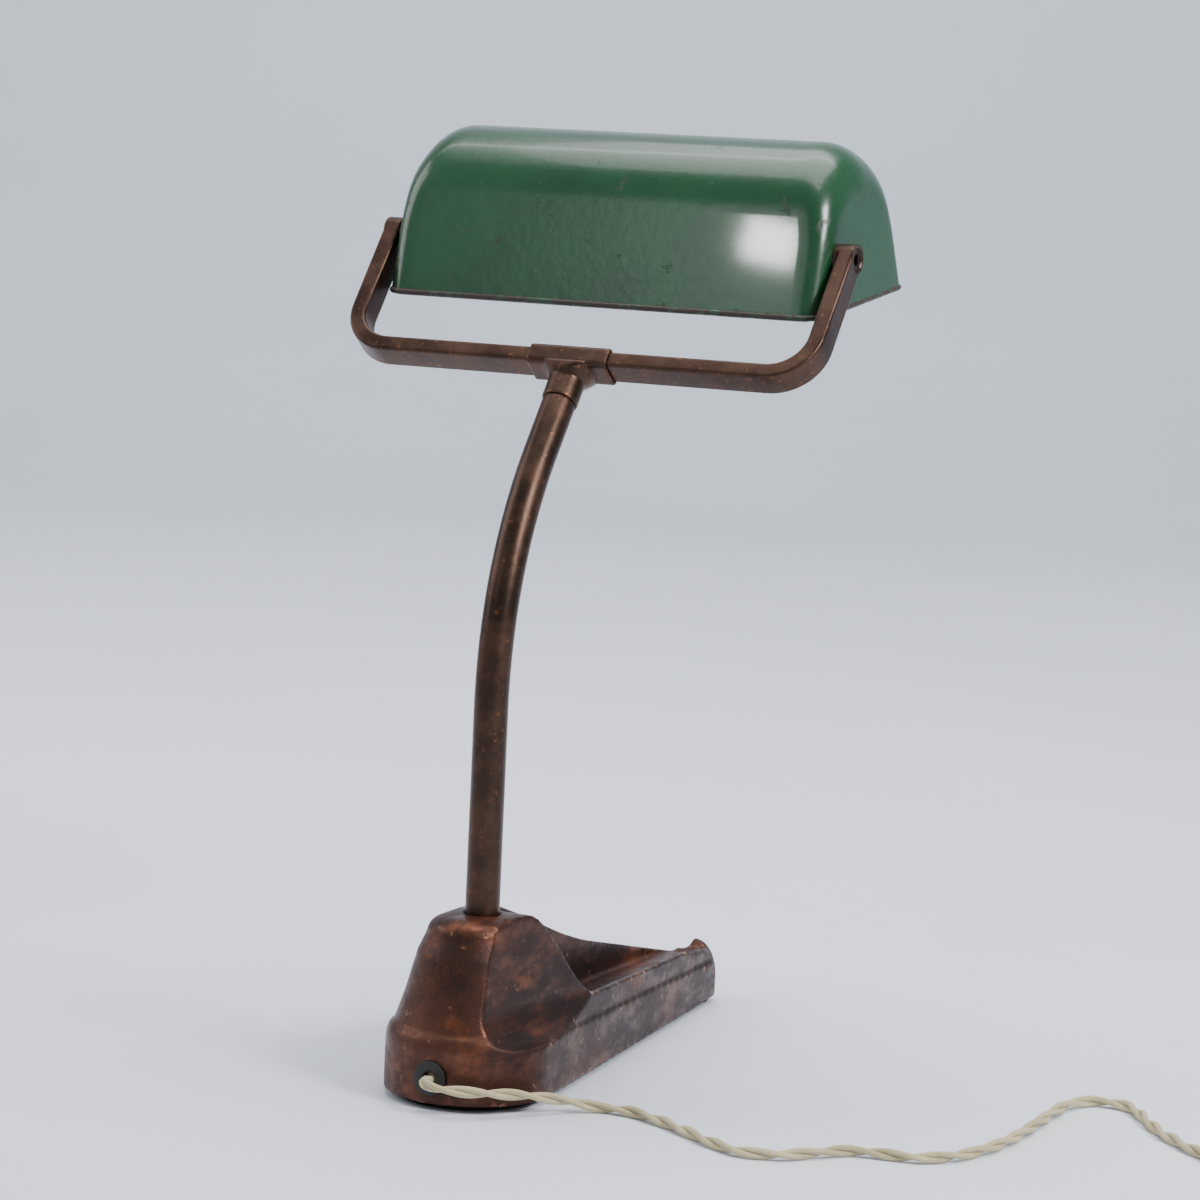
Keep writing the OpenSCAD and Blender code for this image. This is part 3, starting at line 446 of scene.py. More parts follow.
MOULDING = make_plain("dark_moulding", srgb(38, 26, 20), srgb(52, 36, 28), 90.0, 0.28)
PORCELAIN = make_plain("porcelain", srgb(226, 222, 208), srgb(236, 233, 222), 60.0, 0.22)
BRASS = make_plain("aged_brass", srgb(150, 118, 62), srgb(184, 150, 88), 150.0, 0.34, metallic=1.0)
STEEL = make_plain("dull_steel", srgb(140, 138, 132), srgb(172, 170, 164), 120.0, 0.38, metallic=1.0)
DARK_STEEL = make_plain("dark_steel", srgb(62, 52, 46), srgb(88, 72, 60), 200.0, 0.4, metallic=1.0)
RUBBER = make_plain("black_rubber", srgb(20, 19, 18), srgb(30, 28, 26), 160.0, 0.6, height=0.0002)
FELT = make_plain("black_felt", srgb(16, 15, 15), srgb(30, 28, 28), 900.0, 0.95, height=0.0006)
WIRE_COTTON = make_plain("wire_cotton", srgb(176, 160, 120), srgb(196, 182, 144), 700.0, 0.8,
                         height=0.0003)


def make_glass():
    material, tree, shader = new_material("bulb_glass", Roughness=0.03, IOR=1.46,
                                          Transmission_Weight=1.0)
    tint = place_group(tree, MOTTLE, Colour_A=srgb(244, 248, 248), Colour_B=srgb(250, 252, 252), Scale=30.0)
    tree.links.new(tint.outputs["Colour"], shader.inputs["Base Color"])
    return material


GLASS = make_glass()


# %% [markdown]
# The cord's cotton braid follows the strands, so it can't read plain object coordinates. The piece
# has two attributes of its own, `along`, the distance along the strand, and `around`, the share of
# the way round it. Two crossed sets of diagonal lines drawn in them make the braid.


# %% Cotton braid
def make_cotton():
    material, tree, shader = new_material("cream_cotton", Roughness=0.85, Sheen_Weight=0.3)
    along = add(tree, "ShaderNodeAttribute", attribute_name="along")
    around = add(tree, "ShaderNodeAttribute", attribute_name="around")
    waves = []
    for turn in (1, -1):
        pace = add(tree, "ShaderNodeMath", {1: 5200.0}, operation="MULTIPLY")
        spin = add(tree, "ShaderNodeMath", {1: turn * 8 * 2 * math.pi}, operation="MULTIPLY")
        phase = add(tree, "ShaderNodeMath", operation="ADD")
        wave = add(tree, "ShaderNodeMath", operation="SINE")
        tree.links.new(along.outputs["Fac"], pace.inputs[0])
        tree.links.new(around.outputs["Fac"], spin.inputs[0])
        tree.links.new(pace.outputs[0], phase.inputs[0])
        tree.links.new(spin.outputs[0], phase.inputs[1])
        tree.links.new(phase.outputs[0], wave.inputs[0])
        waves.append(wave.outputs[0])
    weave = add(tree, "ShaderNodeMath", operation="MULTIPLY")
    tree.links.new(waves[0], weave.inputs[0])
    tree.links.new(waves[1], weave.inputs[1])
    soil = place_group(tree, MOTTLE, Colour_A=srgb(186, 171, 128), Colour_B=srgb(212, 199, 158),
                       Scale=55.0, Softness=0.25)
    level = between(tree, weave.outputs[0], 0.0, 0.35)
    colour = mix_colours(tree, level, soil.outputs["Colour"], srgb(156, 143, 106))
    tree.links.new(colour, shader.inputs["Base Color"])
    bump(tree, shader, weave.outputs[0], 0.0002, 0.6)
    return material


COTTON = make_cotton()
print(len(bpy.data.materials), "materials")

# %% [markdown]
# ## The cord
# The lead is a pair of cotton-covered strands twisted together. It leaves the grommet in the back of
# the base, drops to the floor, wanders over it and ends in a neat coil with its plug. Its route is
# listed point by point up to the coil, and the coil's turns follow a rule: inwards in a lower layer,
# up, and outwards in an upper layer.

# %% The cord's route
CORD_D = 5.4 * MM
CORD_PITCH = 0.042
PATH_STEP = 2.0 * MM
FLOOR_Z = 2.8
ROUTE = [
    (0, 152.7, 15), (0, 157, 15), (-3, 161, 14.5), (-9, 161.5, 13.5), (-18, 157, 12.5),
    (-28, 149.5, 11.5), (-38, 138, 10), (-47, 126, 7.5), (-56, 116.5, 5), (-66, 110, FLOOR_Z),
    (-77, 108, FLOOR_Z), (-90, 111.5, FLOOR_Z), (-102, 117.5, FLOOR_Z), (-116, 126, FLOOR_Z),
    (-130, 135.5, FLOOR_Z), (-144, 143.5, FLOOR_Z), (-156, 145.5, FLOOR_Z), (-168, 141, FLOOR_Z),
    (-178, 131, FLOOR_Z), (-187, 119.5, FLOOR_Z), (-198, 113, FLOOR_Z), (-212, 112, FLOOR_Z),
    (-225, 107, FLOOR_Z), (-234, 96, FLOOR_Z), (-240, 80, FLOOR_Z), (-243.5, 60, FLOOR_Z),
    (-244.5, 38, FLOOR_Z), (-244, 16, FLOOR_Z), (-243.5, -6, FLOOR_Z), (-244, -24, FLOOR_Z),
    (-248.5, -36, FLOOR_Z), (-258.5, -42, FLOOR_Z), (-270, -38.5, FLOOR_Z), (-278, -29, FLOOR_Z),
    (-287, -15, FLOOR_Z), (-298, 0, FLOOR_Z), (-311, 14, FLOOR_Z), (-325, 27, FLOOR_Z),
    (-340, 41, FLOOR_Z), (-354, 54, FLOOR_Z), (-363, 62, FLOOR_Z),
]
PLUG_ROUTE = [
    (-425, 64, 10), (-434, 55, 10.2), (-441, 45, 11.2), (-446, 34, 12.8), (-449, 23, 14.8),
    (-450, 14, 16), (-450, 7.5, 16),
]
COIL_AT = (-395, 35)
COIL_OUT = 41.9
COIL_IN = 25.2
COIL_TOP = 8.3
COIL_LOWER, COIL_CLIMB, COIL_UPPER = 2.46, 0.34, 2.47


def coil_points(per_turn=24):
    """The coil's middle line, from where the route meets it to where the plug's lead leaves it."""
    start = math.atan2(ROUTE[-1][1] - COIL_AT[1], ROUTE[-1][0] - COIL_AT[0])
    turns = COIL_LOWER + COIL_CLIMB + COIL_UPPER
    points = []
    steps = int(turns * per_turn)
    for i in range(1, steps):
        t = turns * i / steps
        if t < COIL_LOWER:
            radius, z = COIL_OUT + (COIL_IN - COIL_OUT) * t / COIL_LOWER, FLOOR_Z
        elif t < COIL_LOWER + COIL_CLIMB:
            f = (t - COIL_LOWER) / COIL_CLIMB
            radius, z = COIL_IN, FLOOR_Z + (COIL_TOP - FLOOR_Z) * (1 - math.cos(math.pi * f)) / 2
        else:
            f = (t - COIL_LOWER - COIL_CLIMB) / COIL_UPPER
            radius, z = COIL_IN + (COIL_OUT - COIL_IN) * f, COIL_TOP
        angle = start + 2 * math.pi * t
        points.append((COIL_AT[0] + radius * math.cos(angle), COIL_AT[1] + radius * math.sin(angle), z))
    return points


def smooth_path(points, step):
    """Points at even steps along a curve that runs smoothly through the given ones."""
    p = np.array(points, float)
    padded = np.vstack([2 * p[0] - p[1], p, 2 * p[-1] - p[-2]])
    dense = []
    for i in range(len(p) - 1):
        a, b, c, d = padded[i:i + 4]
        for t in np.linspace(0, 1, 12, endpoint=False):
            dense.append(0.5 * (2 * b + (c - a) * t + (2 * a - 5 * b + 4 * c - d) * t ** 2
                                + (3 * b - a - 3 * c + d) * t ** 3))
    dense = np.array([*dense, p[-1]])
    run = np.concatenate([[0], np.cumsum(np.linalg.norm(np.diff(dense, axis=0), axis=1))])
    places = np.linspace(0, run[-1], int(run[-1] / step) + 1)
    return np.stack([np.interp(places, run, dense[:, k]) for k in range(3)], axis=1), run[-1]


CORD_PATH, CORD_LENGTH = smooth_path(
    [[v * MM for v in p] for p in ROUTE + coil_points() + PLUG_ROUTE], PATH_STEP)
print("cord", round(CORD_LENGTH, 3), "m, lowest", round(CORD_PATH[:, 2].min(), 4))

# %% [markdown]
# Geometry Nodes twist the pair: each strand is the middle line moved sideways by a fixed amount, in
# a direction that turns steadily with the distance along the line, and a round profile runs along
# it. The tree stores the two attributes that the braid reads.


# %% Twist the pair with Geometry Nodes
def make_twist_tree():
    tree = bpy.data.node_groups.new("twisted pair", "GeometryNodeTree")
    face = tree.interface
    face.new_socket("Path", in_out="INPUT", socket_type="NodeSocketGeometry")
    for label, value in (("Strand Radius", CORD_D / 4), ("Offset", CORD_D / 4), ("Pitch", CORD_PITCH)):
        face.new_socket(label, in_out="INPUT", socket_type="NodeSocketFloat").default_value = value
    face.new_socket("Finish", in_out="INPUT", socket_type="NodeSocketMaterial")
    face.new_socket("Pair", in_out="OUTPUT", socket_type="NodeSocketGeometry")
    ins, outs = tree.nodes.new("NodeGroupInput"), tree.nodes.new("NodeGroupOutput")
    link = tree.links.new
    place = add(tree, "GeometryNodeSplineParameter")
    turns = add(tree, "ShaderNodeMath", operation="DIVIDE")
    link(place.outputs["Length"], turns.inputs[0])
    link(ins.outputs["Pitch"], turns.inputs[1])
    angle = add(tree, "ShaderNodeMath", {1: 2 * math.pi}, operation="MULTIPLY")
    link(turns.outputs[0], angle.inputs[0])
    normal = add(tree, "GeometryNodeInputNormal")
    tangent = add(tree, "GeometryNodeInputTangent")
    join = add(tree, "GeometryNodeJoinGeometry")
    for half in (0, 1):
        phase = add(tree, "ShaderNodeMath", {1: half * math.pi}, operation="ADD")
        link(angle.outputs[0], phase.inputs[0])
        turn = add(tree, "ShaderNodeVectorRotate", rotation_type="AXIS_ANGLE")
        link(normal.outputs[0], turn.inputs["Vector"])
        link(tangent.outputs[0], turn.inputs["Axis"])
        link(phase.outputs[0], turn.inputs["Angle"])
        push = add(tree, "ShaderNodeVectorMath", operation="SCALE")
        link(turn.outputs[0], push.inputs[0])
        link(ins.outputs["Offset"], push.inputs["Scale"])
        store = add(tree, "GeometryNodeStoreNamedAttribute", {"Name": "along"}, data_type="FLOAT",
                    domain="POINT")
        link(ins.outputs["Path"], store.inputs["Geometry"])
        link(place.outputs["Length"], store.inputs["Value"])
        move = add(tree, "GeometryNodeSetPosition")
        link(store.outputs[0], move.inputs["Geometry"])
        link(push.outputs[0], move.inputs["Offset"])
        ring = add(tree, "GeometryNodeCurvePrimitiveCircle", {"Resolution": 12})
        link(ins.outputs["Strand Radius"], ring.inputs["Radius"])
        mark = add(tree, "GeometryNodeStoreNamedAttribute", {"Name": "around"}, data_type="FLOAT",
                   domain="POINT")
        share = add(tree, "GeometryNodeSplineParameter")
        link(ring.outputs[0], mark.inputs["Geometry"])
        link(share.outputs["Factor"], mark.inputs["Value"])
        tube = add(tree, "GeometryNodeCurveToMesh", {"Fill Caps": True})
        link(move.outputs[0], tube.inputs["Curve"])
        link(mark.outputs[0], tube.inputs["Profile Curve"])
        link(tube.outputs[0], join.inputs[0])
    solid = add(tree, "GeometryNodeRealizeInstances")
    paint = add(tree, "GeometryNodeSetMaterial")
    link(join.outputs[0], solid.inputs[0])
    link(solid.outputs[0], paint.inputs["Geometry"])
    link(ins.outputs["Finish"], paint.inputs["Material"])
    link(paint.outputs[0], outs.inputs[0])
    return tree


def set_inputs(modifier, **values):
    """Sets a Geometry Nodes modifier's inputs by their sockets' identifiers."""
    for item in modifier.node_group.interface.items_tree:
        key = item.name.replace(" ", "_")
        if item.item_type == "SOCKET" and item.in_out == "INPUT" and key in values:
            modifier[item.identifier] = values[key]


def line_object(name, points, closed=False):
    """A curve of one open or closed spline through the points."""
    curve = bpy.data.curves.new(name, "CURVE")
    curve.dimensions = "3D"
    spline = curve.splines.new("POLY")
    spline.points.add(len(points) - 1)
    spline.points.foreach_set("co", [v for p in points for v in (*p, 1.0)])
    spline.use_cyclic_u = closed
    line = bpy.data.objects.new(name, curve)
    bpy.context.scene.collection.objects.link(line)
    return line


def make_cord():
    line = line_object("cord", CORD_PATH)
    modifier = line.modifiers.new("twist", "NODES")
    modifier.node_group = make_twist_tree()
    set_inputs(modifier, Strand_Radius=CORD_D / 4, Offset=CORD_D / 4, Pitch=CORD_PITCH, Finish=COTTON)
    cord = shade(apply_modifiers(line), 60)
    settle(cord, "stand", COTTON, ["cord_run", "cord_coil", "plug_lead"])
    return cord


cord = make_cord()

# %% [markdown]
# ## The base
# The base is one casting: a narrow plan that tapers to the front, a bell-shaped hump with one flat
# cheek that sweeps out to the band in a cove, an S-shaped ramp down to the tray, and a far wall that
# stands higher than the near rim, which ends in a pointed lip. A casting has no sharp edges, so the
# CAD shape is remeshed into small even faces and smoothed, which rounds them. Modelling the curves
# again by hand would give the same form with more work, and could stray from the CAD.
# Each point stores how much its surface bends outwards, and the finish wears the plating off there.


# %% Remesh and edge wear
def add_edge_attribute(piece, values):
    layer = piece.data.attributes.get("edge") or piece.data.attributes.new("edge", "FLOAT", "POINT")
    layer.data.foreach_set("value", np.asarray(values, np.float32))


def mesh_arrays(mesh):
    points = np.empty(len(mesh.vertices) * 3, np.float64)
    mesh.vertices.foreach_get("co", points)
    normals = np.empty(len(mesh.vertices) * 3, np.float64)
    mesh.vertex_normals.foreach_get("vector", normals)
    edges = np.empty(len(mesh.edges) * 2, np.int64)
    mesh.edges.foreach_get("vertices", edges)
    return points.reshape(-1, 3), normals.reshape(-1, 3), edges.reshape(-1, 2)


def spread(values, edges, count, passes):
    """Blurs a value over the mesh, from each point to its neighbours."""
    share = np.bincount(edges.ravel(), minlength=count).clip(1)
    for _ in range(passes):
        total = np.zeros_like(values)
        np.add.at(total, edges[:, 0], values[edges[:, 1]])
        np.add.at(total, edges[:, 1], values[edges[:, 0]])
        values = 0.5 * values + 0.5 * (total.T / share).T
    return values


def mark_outer_edges(piece, bend, passes=3):
    """Stores in the edge attribute how far each point's surface bends outwards, 1 at bend and over."""
    points, normals, edges = mesh_arrays(piece.data)
    middle = spread(points, edges, len(points), 1)
    length = np.linalg.norm(points[edges[:, 0]] - points[edges[:, 1]], axis=1).mean()
    outward = ((points - middle) * normals).sum(1) / length
    add_edge_attribute(piece, np.clip(spread(outward, edges, len(points), passes) / bend, 0, 1))
    return piece


def remeshed(piece, voxel, smoothing):
    """Even small faces all over, with every edge softened."""
    remesh = piece.modifiers.new("remesh", "REMESH")
    remesh.mode = "VOXEL"
    remesh.voxel_size = voxel
    soften = piece.modifiers.new("soften", "SMOOTH")
    soften.factor = 0.5
    soften.iterations = smoothing
    apply_modifiers(piece)
    piece.data.shade_smooth()
    return piece


# %% Cast the base
def make_base():
    base = remeshed(node_copy("base", "base_casting"), 1.0 * MM, 4)
    mark_outer_edges(base, 0.22)
    settle(base, "stand", COPPER_PLATE, ["base_casting"])


make_base()

# %% [markdown]
# ## The shade
# The shade is a pressed sheet: a section with leaning sides and a round top, closed at both ends by
# flat caps that meet it in rounded corners, wider at the top than at the rim. Its points follow that
# rule, so they are worked out on a grid, and a Solidify modifier gives the sheet its thickness.

# %% The shade's size and frame
SHADE_LOW, SHADE_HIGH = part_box("shade_shell")
SHADE_HALF = (SHADE_HIGH.x - SHADE_LOW.x) / 2
SHADE_TILT = math.radians(-7)
SHADE_W, SHADE_H = 114 * MM, 76 * MM
SHADE_SLOPE = math.radians(20)
SHADE_WALL = 1.5 * MM
CORNER_AT_RIM, CORNER_GROWTH = 9, 13
BEND_WEAR, RIM_WEAR, RIM_WEAR_HEIGHT = 0.22, 0.9, 3.5 * MM
BEAD_R, BEAD_HEIGHT = 1.45 * MM, 1.2 * MM
PIVOT = Vector(next(j for j in frame["joints"] if j["name"] == "shade_tilt")["pos_m"])
PIVOT_BACK, PIVOT_UP = 31 * MM, 26 * MM
TOP_R = ((SHADE_W / 2 - SHADE_H * math.tan(SHADE_SLOPE))
         / (math.cos(SHADE_SLOPE) - math.tan(SHADE_SLOPE) * (1 - math.sin(SHADE_SLOPE))))


def in_shade(x, across, up):
    """A place in the lamp's frame, from one along the shade, across it and above its rim."""
    tilt = Matrix.Rotation(SHADE_TILT, 3, "X")
    return PIVOT + tilt @ Vector((x, across - PIVOT_BACK, up - PIVOT_UP))


def section_point(t, inset):
    """A point across and up on the shade's section, drawn in by the inset; t goes from 0 to 1."""
    side = -1 if t < 0.5 else 1
    u = 1 - abs(2 * t - 1)
    straight = 0.5
    slope, radius = SHADE_SLOPE, TOP_R - inset
    centre = SHADE_H - TOP_R
    foot = (SHADE_W / 2 - inset / math.cos(slope), 0)
    joint = (radius * math.cos(slope), centre + radius * math.sin(slope))
    if u < straight:
        f = u / straight
        return side * (foot[0] + (joint[0] - foot[0]) * f), foot[1] + (joint[1] - foot[1]) * f
    angle = slope + (math.pi / 2 - slope) * (u - straight) / (1 - straight)
    return side * radius * math.cos(angle), centre + radius * math.sin(angle)


def corner_radius(t):
    """Radius of the corner between the section and the end cap: small at the rim, large at the top."""
    u = 1 - abs(2 * t - 1)
    f = min(max((u - 0.3) / 0.6, 0), 1)
    return (CORNER_AT_RIM + CORNER_GROWTH * f * f * (3 - 2 * f)) * MM


def rim_wear(up):
    """Wear that is strongest on the rim and gone a little above it."""
    return RIM_WEAR * max(0, 1 - up / RIM_WEAR_HEIGHT)


print("shade's top radius", round(TOP_R / MM, 1), "mm")


# %% Press the shade
def make_shade():
    steps, bends, middle, cap = 72, 10, 40, 16
    ts = [i / steps for i in range(steps + 1)]
    stations = [("bend", -1, k / bends) for k in range(bends)]
    stations += [("flat", 0, -1 + 2 * k / middle) for k in range(middle + 1)]
    stations += [("bend", 1, 1 - k / bends) for k in range(1, bends + 1)]
    points, edge = [], []
    for kind, end, f in stations:
        for t in ts:
            radius = corner_radius(t)
            if kind == "flat":
                x, inset = f * (SHADE_HALF - radius), 0
            else:
                angle = f * math.pi / 2
                x = end * (SHADE_HALF - radius + radius * math.cos(angle))
                inset = radius * (1 - math.sin(angle))
            across, up = section_point(t, inset)
            points.append(in_shade(x, across, up))
            edge.append(BEND_WEAR * (kind == "bend") * math.sin(math.pi * f) + rim_wear(up))
    faces = grid_faces(len(stations), len(ts))
    for end in (-1, 1):
        start = len(points)
        for t in ts[:steps // 2 + 1]:
            left, right = section_point(t, corner_radius(t)), section_point(1 - t, corner_radius(t))
            for k in range(cap + 1):
                s = k / cap
                across, up = (a + (b - a) * s for a, b in zip(left, right))
                points.append(in_shade(end * SHADE_HALF, across, up))
                edge.append(rim_wear(up))
        faces += grid_faces(steps // 2 + 1, cap + 1, start=start)
    sheet = mesh_piece("shade_sheet", points, faces)
    add_edge_attribute(sheet, edge)
    clean(sheet, 0.00002)
    centre = in_shade(0, 0, SHADE_H / 2)
    outward = sum((p.center - centre).dot(p.normal) for p in sheet.data.polygons)
    if outward < 0:
        sheet.data.flip_normals()
    wall = sheet.modifiers.new("wall", "SOLIDIFY")
    wall.thickness = SHADE_WALL
    wall.offset = -1
    wall.use_even_offset = True
    wall.use_rim = True
    wall.material_offset = 1
    wall.material_offset_rim = 0
    sheet.data.materials.append(GREEN_ENAMEL)
    sheet.data.materials.append(WHITE_ENAMEL)
    settle(shade(apply_modifiers(sheet), 40), "shade", None, ["shade_shell"])


make_shade()

# %% [markdown]
# The rim of the sheet is rolled into a bead. Geometry Nodes run a round profile along the rim's loop.


# %% Roll the rim's bead
def make_tube_tree():
    tree = bpy.data.node_groups.new("tube along a line", "GeometryNodeTree")
    face = tree.interface
    face.new_socket("Path", in_out="INPUT", socket_type="NodeSocketGeometry")
    face.new_socket("Radius", in_out="INPUT", socket_type="NodeSocketFloat").default_value = 0.001
    face.new_socket("Sides", in_out="INPUT", socket_type="NodeSocketInt").default_value = 12
    face.new_socket("Edge", in_out="INPUT", socket_type="NodeSocketFloat").default_value = 0.0
    face.new_socket("Finish", in_out="INPUT", socket_type="NodeSocketMaterial")
    face.new_socket("Tube", in_out="OUTPUT", socket_type="NodeSocketGeometry")
    ins, outs = tree.nodes.new("NodeGroupInput"), tree.nodes.new("NodeGroupOutput")
    link = tree.links.new
    ring = add(tree, "GeometryNodeCurvePrimitiveCircle")
    link(ins.outputs["Sides"], ring.inputs["Resolution"])
    link(ins.outputs["Radius"], ring.inputs["Radius"])
    tube = add(tree, "GeometryNodeCurveToMesh", {"Fill Caps": True})
    link(ins.outputs["Path"], tube.inputs["Curve"])
    link(ring.outputs[0], tube.inputs["Profile Curve"])
    mark = add(tree, "GeometryNodeStoreNamedAttribute", {"Name": "edge"}, data_type="FLOAT",
               domain="POINT")
    link(tube.outputs[0], mark.inputs["Geometry"])
    link(ins.outputs["Edge"], mark.inputs["Value"])
    solid = add(tree, "GeometryNodeRealizeInstances")
    paint = add(tree, "GeometryNodeSetMaterial")
    link(mark.outputs[0], solid.inputs[0])
    link(solid.outputs[0], paint.inputs["Geometry"])
    link(ins.outputs["Finish"], paint.inputs["Material"])
    link(paint.outputs[0], outs.inputs[0])
    return tree


TUBE_TREE = make_tube_tree()


def tube_along(name, points, radius, material, closed=False, sides=12, edge=0.0):
    line = line_object(name, points, closed)
    modifier = line.modifiers.new("tube", "NODES")
    modifier.node_group = TUBE_TREE
    set_inputs(modifier, Radius=radius, Sides=sides, Edge=edge, Finish=material)
    return shade(apply_modifiers(line), 50)


def rim_loop(bends=8):
    """The loop of the sheet's rim, at the middle of its thickness."""
    radius, inset = corner_radius(0), SHADE_WALL / 2
    loop = []
    for side, end in ((0, 1), (1, 1), (1, -1), (0, -1)):
        forward = (side == 0) == (end == 1)
        fs = [k / bends for k in range(bends + 1)]
        for f in (reversed(fs) if forward else fs):
            angle = f * math.pi / 2
            x = end * (SHADE_HALF - radius + (radius - inset) * math.cos(angle))
            across, _ = section_point(side, inset + (radius - inset) * (1 - math.sin(angle)))
            loop.append(in_shade(x, across, BEAD_HEIGHT))
    return loop


rim_bead = tube_along("shade_rim_bead", rim_loop(), BEAD_R, GREEN_ENAMEL, closed=True, sides=14,
                      edge=0.75)
settle(rim_bead, "shade", GREEN_ENAMEL)

# %% [markdown]
# ## Stem, yoke and fittings
# These are turned, bent and drilled parts, and their CAD shapes are right, so each becomes a merged
# copy with smooth shading. The tee is a small casting and the stem bends, so these are remeshed.


# %% Copies of the hard parts
def copy_part(name, node, body, material):
    piece = shade(node_copy(name, node), 30)
    add_edge_attribute(piece, np.zeros(len(piece.data.vertices)))
    settle(piece, body, material, [node])


def cast_part(name, node, body, material, voxel, smoothing, bend):
    piece = remeshed(node_copy(name, node), voxel, smoothing)
    mark_outer_edges(piece, bend)
    settle(piece, body, material, [node])


HARD_PARTS = [
    ("yoke", "yoke_tube", "stand", "yoke_bronze", YOKE_BRONZE),
    ("tee_lock_screw", "tee_screw", "stand", "dark_steel", DARK_STEEL),
    ("stem_foot_washer", "stem_washer", "stand", "bright_steel", STEEL),
    ("stem_foot_nut", "stem_nut", "stand", "bright_steel", STEEL),
    ("stem_leads", "stem_wires", "stand", "wire_fabric", WIRE_COTTON),
    ("yoke_leads", "arm_lead", "stand", "wire_fabric", WIRE_COTTON),
    ("inner_lead", "base_lead", "stand", "cord_sheath", WIRE_COTTON),
    ("underside_plate", "cover_plate", "stand", "plate_steel", STEEL),
    ("underside_screws", "cover_screws", "stand", "bright_steel", STEEL),
    ("underside_pad", "base_pad", "stand", "felt", FELT),
    ("nose_foot", "front_foot", "stand", "foot_rubber", RUBBER),
    ("outlet_grommet", "cord_grommet", "stand", "grommet_rubber", RUBBER),
    ("lead_clamp", "cord_clamp", "stand", "plate_steel", STEEL),
    ("lead_clamp_screw", "clamp_screw", "stand", "brass", BRASS),
    ("plug", "plug_body", "stand", "plug_body", MOULDING),
    ("plug_prongs", "plug_pins", "stand", "brass", BRASS),
    ("hollow_pivot", "pivot_nipple", "shade", "brass", DARK_STEEL),
    ("hollow_pivot_nut", "nipple_nut", "shade", "bright_steel", STEEL),
    ("domed_pivot_screw", "pivot_screw", "shade", "dark_steel", DARK_STEEL),
    ("pivot_screw_nut", "pivot_nut", "shade", "bright_steel", STEEL),
    ("spacer_washers", "pivot_washers", "shade", "dark_steel", DARK_STEEL),
    ("holder_strap", "holder_bracket", "shade", "plate_steel", STEEL),
    ("holder_nipple", "holder_bush", "shade", "brass", BRASS),
    ("holder_leads", "shade_lead", "shade", "wire_fabric", WIRE_COTTON),
    ("holder_end", "holder_cap", "shade", "holder_moulding", MOULDING),
    ("holder_case", "holder_body", "shade", "holder_moulding", MOULDING),
    ("holder_porcelain", "holder_core", "shade", "porcelain", PORCELAIN),
    ("holder_sleeve", "screw_sleeve", "shade", "brass", BRASS),
    ("holder_contact", "centre_contact", "shade", "brass", BRASS),
    ("bulb_envelope", "bulb_glass", "shade", "bulb_glass", GLASS),
    ("bulb_screw_cap", "bulb_cap", "shade", "bright_steel", STEEL),
    ("bulb_tip_contact", "bulb_tip", "shade", "dark_steel", DARK_STEEL),
    ("bulb_glass_mount", "bulb_mount", "shade", "bulb_glass", GLASS),
    ("bulb_filament", "filament", "shade", "dark_steel", DARK_STEEL),
    ("turn_key", "switch_key", "key", "holder_moulding", MOULDING),
]
for name, node, body, slot, material in HARD_PARTS:
    copy_part(name, node, body, material)
cast_part("stem", "stem_tube", "stand", STEM_BRONZE, 0.6 * MM, 5, 0.2)
cast_part("tee", "tee_fitting", "stand", STEM_BRONZE, 0.5 * MM, 9, 0.16)
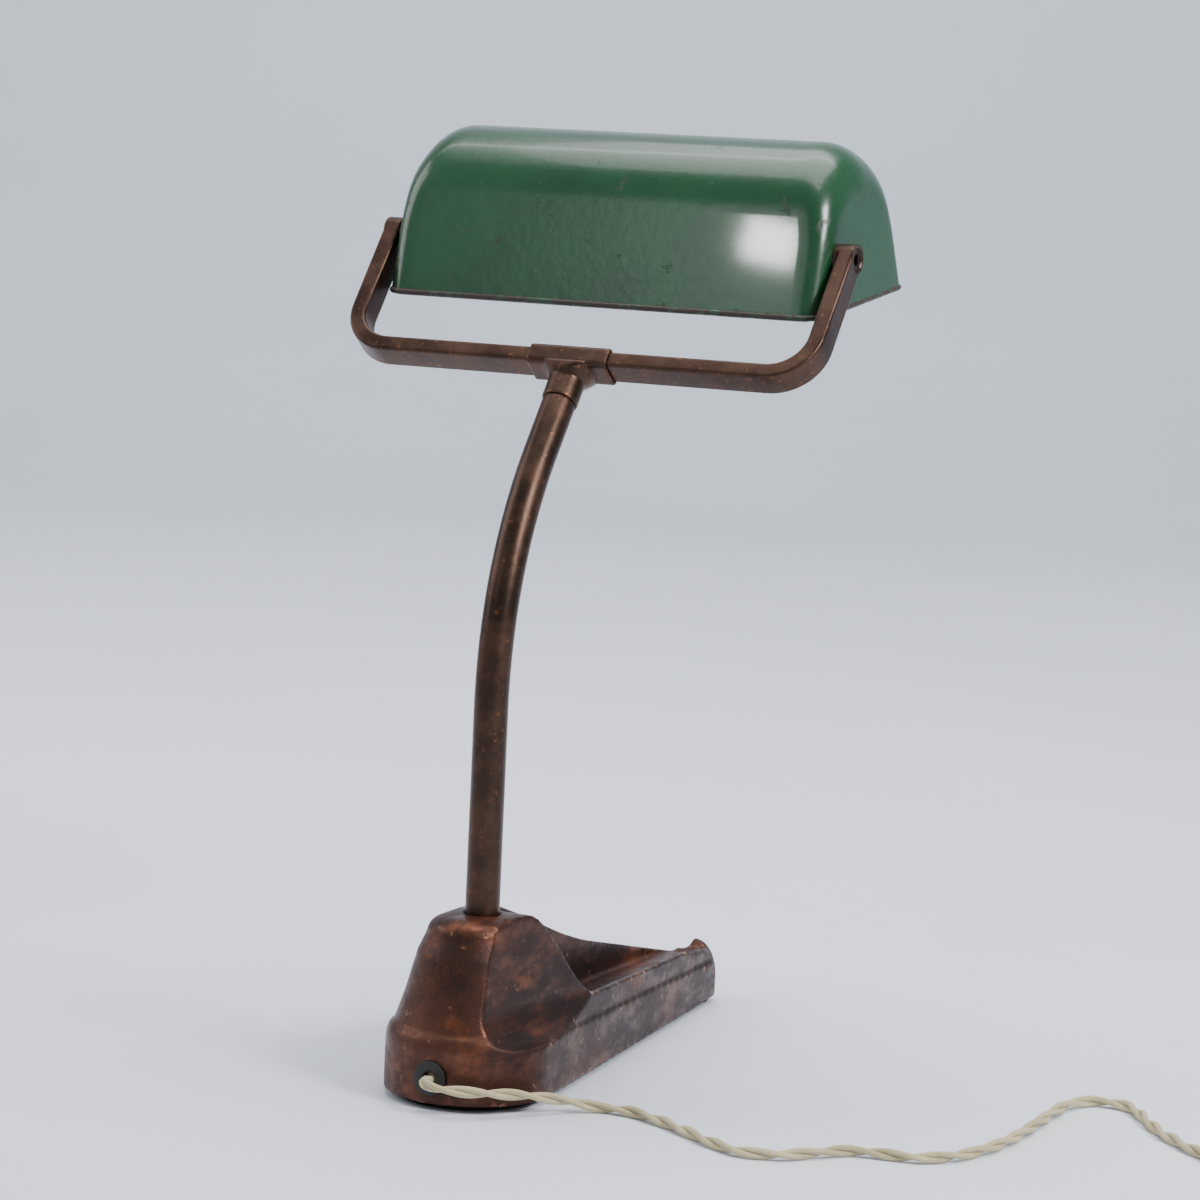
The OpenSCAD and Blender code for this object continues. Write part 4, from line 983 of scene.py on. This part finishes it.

# %% [markdown]

# %% [markdown]
# ## Floor and light
# The lamp stands on a plain pale blue-grey floor that curves up into a wall, in soft studio light:
# a large key light at the viewer's right, a weaker fill from the left, a light from above, and one
# that brightens the wall behind the lamp. A small light stands where the shade's flat rear side
# mirrors it, and makes the highlight near one end of the enamel.


# %% Make the floor
def make_floor():
    material, tree, shader = new_material("pale_floor", Roughness=0.7)
    tone = place_group(tree, MOTTLE, Colour_A=srgb(224, 229, 239), Colour_B=srgb(227, 232, 242), Scale=2.0)
    tree.links.new(tone.outputs["Colour"], shader.inputs["Base Color"])
    side, near, far, bend, rise = 6.0, 6.0, -2.6, 1.2, 5.0
    profile = [(near, 0.0), (far, 0.0)]
    profile += [(far - bend * math.sin(a), bend * (1 - math.cos(a)))
                for a in np.linspace(0, math.pi / 2, 24)[1:]]
    profile += [(far - bend, rise)]
    away = Vector((VIEW_FORWARD.x, VIEW_FORWARD.y, 0)).normalized()
    across = Vector((-away.y, away.x, 0))
    points = [across * reach - away * depth + Vector((0, 0, z))
              for depth, z in profile for reach in (side, -side)]
    floor = mesh_piece("floor", points, grid_faces(len(profile), 2))
    floor.data.materials.append(material)
    floor.data.shade_smooth()
    print("floor with", len(floor.data.polygons), "faces")


make_floor()


# %% Make the lights
def area_light(name, at, target, size, power):
    data = bpy.data.lights.new(name, "AREA")
    data.shape = "RECTANGLE"
    data.size, data.size_y = size
    data.energy = power
    light = bpy.data.objects.new(name, data)
    light.location = at
    light.rotation_euler = (Vector(target) - Vector(at)).to_track_quat("-Z", "Y").to_euler()
    bpy.context.scene.collection.objects.link(light)


def from_view(right, toward, up):
    """A place given as metres to the viewer's right, towards the viewer and up, from the lamp."""
    away = Vector((VIEW_FORWARD.x, VIEW_FORWARD.y, 0)).normalized()
    sideways = Vector((away.y, -away.x, 0))
    return sideways * right - away * toward + Vector((0, 0, up))


LAMP_MIDDLE = (0, 0, 0.25)
SHADE_SPOT = (-0.085, 0.006, 0.397)
SPARKLE_FROM = (0.693, 1.69, 1.151)
area_light("key", from_view(1.2, 1.1, 1.3), LAMP_MIDDLE, (0.55, 0.55), 34)
area_light("fill", from_view(-2.0, -0.3, 1.3), LAMP_MIDDLE, (1.4, 1.4), 20)
area_light("top", from_view(0.1, -0.2, 1.9), LAMP_MIDDLE, (1.6, 1.6), 34)
area_light("sparkle", SPARKLE_FROM, SHADE_SPOT, (0.05, 0.04), 1.3)
area_light("backdrop", from_view(0.0, -0.9, 2.6), from_view(0.0, -3.7, 0.9), (3.0, 1.0), 62)
world = bpy.data.worlds.new("studio")
world.use_nodes = True
world.node_tree.nodes["Background"].inputs["Color"].default_value = (0.80, 0.84, 0.92, 1)
world.node_tree.nodes["Background"].inputs["Strength"].default_value = 0.42
bpy.context.scene.world = world
print(len(bpy.data.lights), "lights")
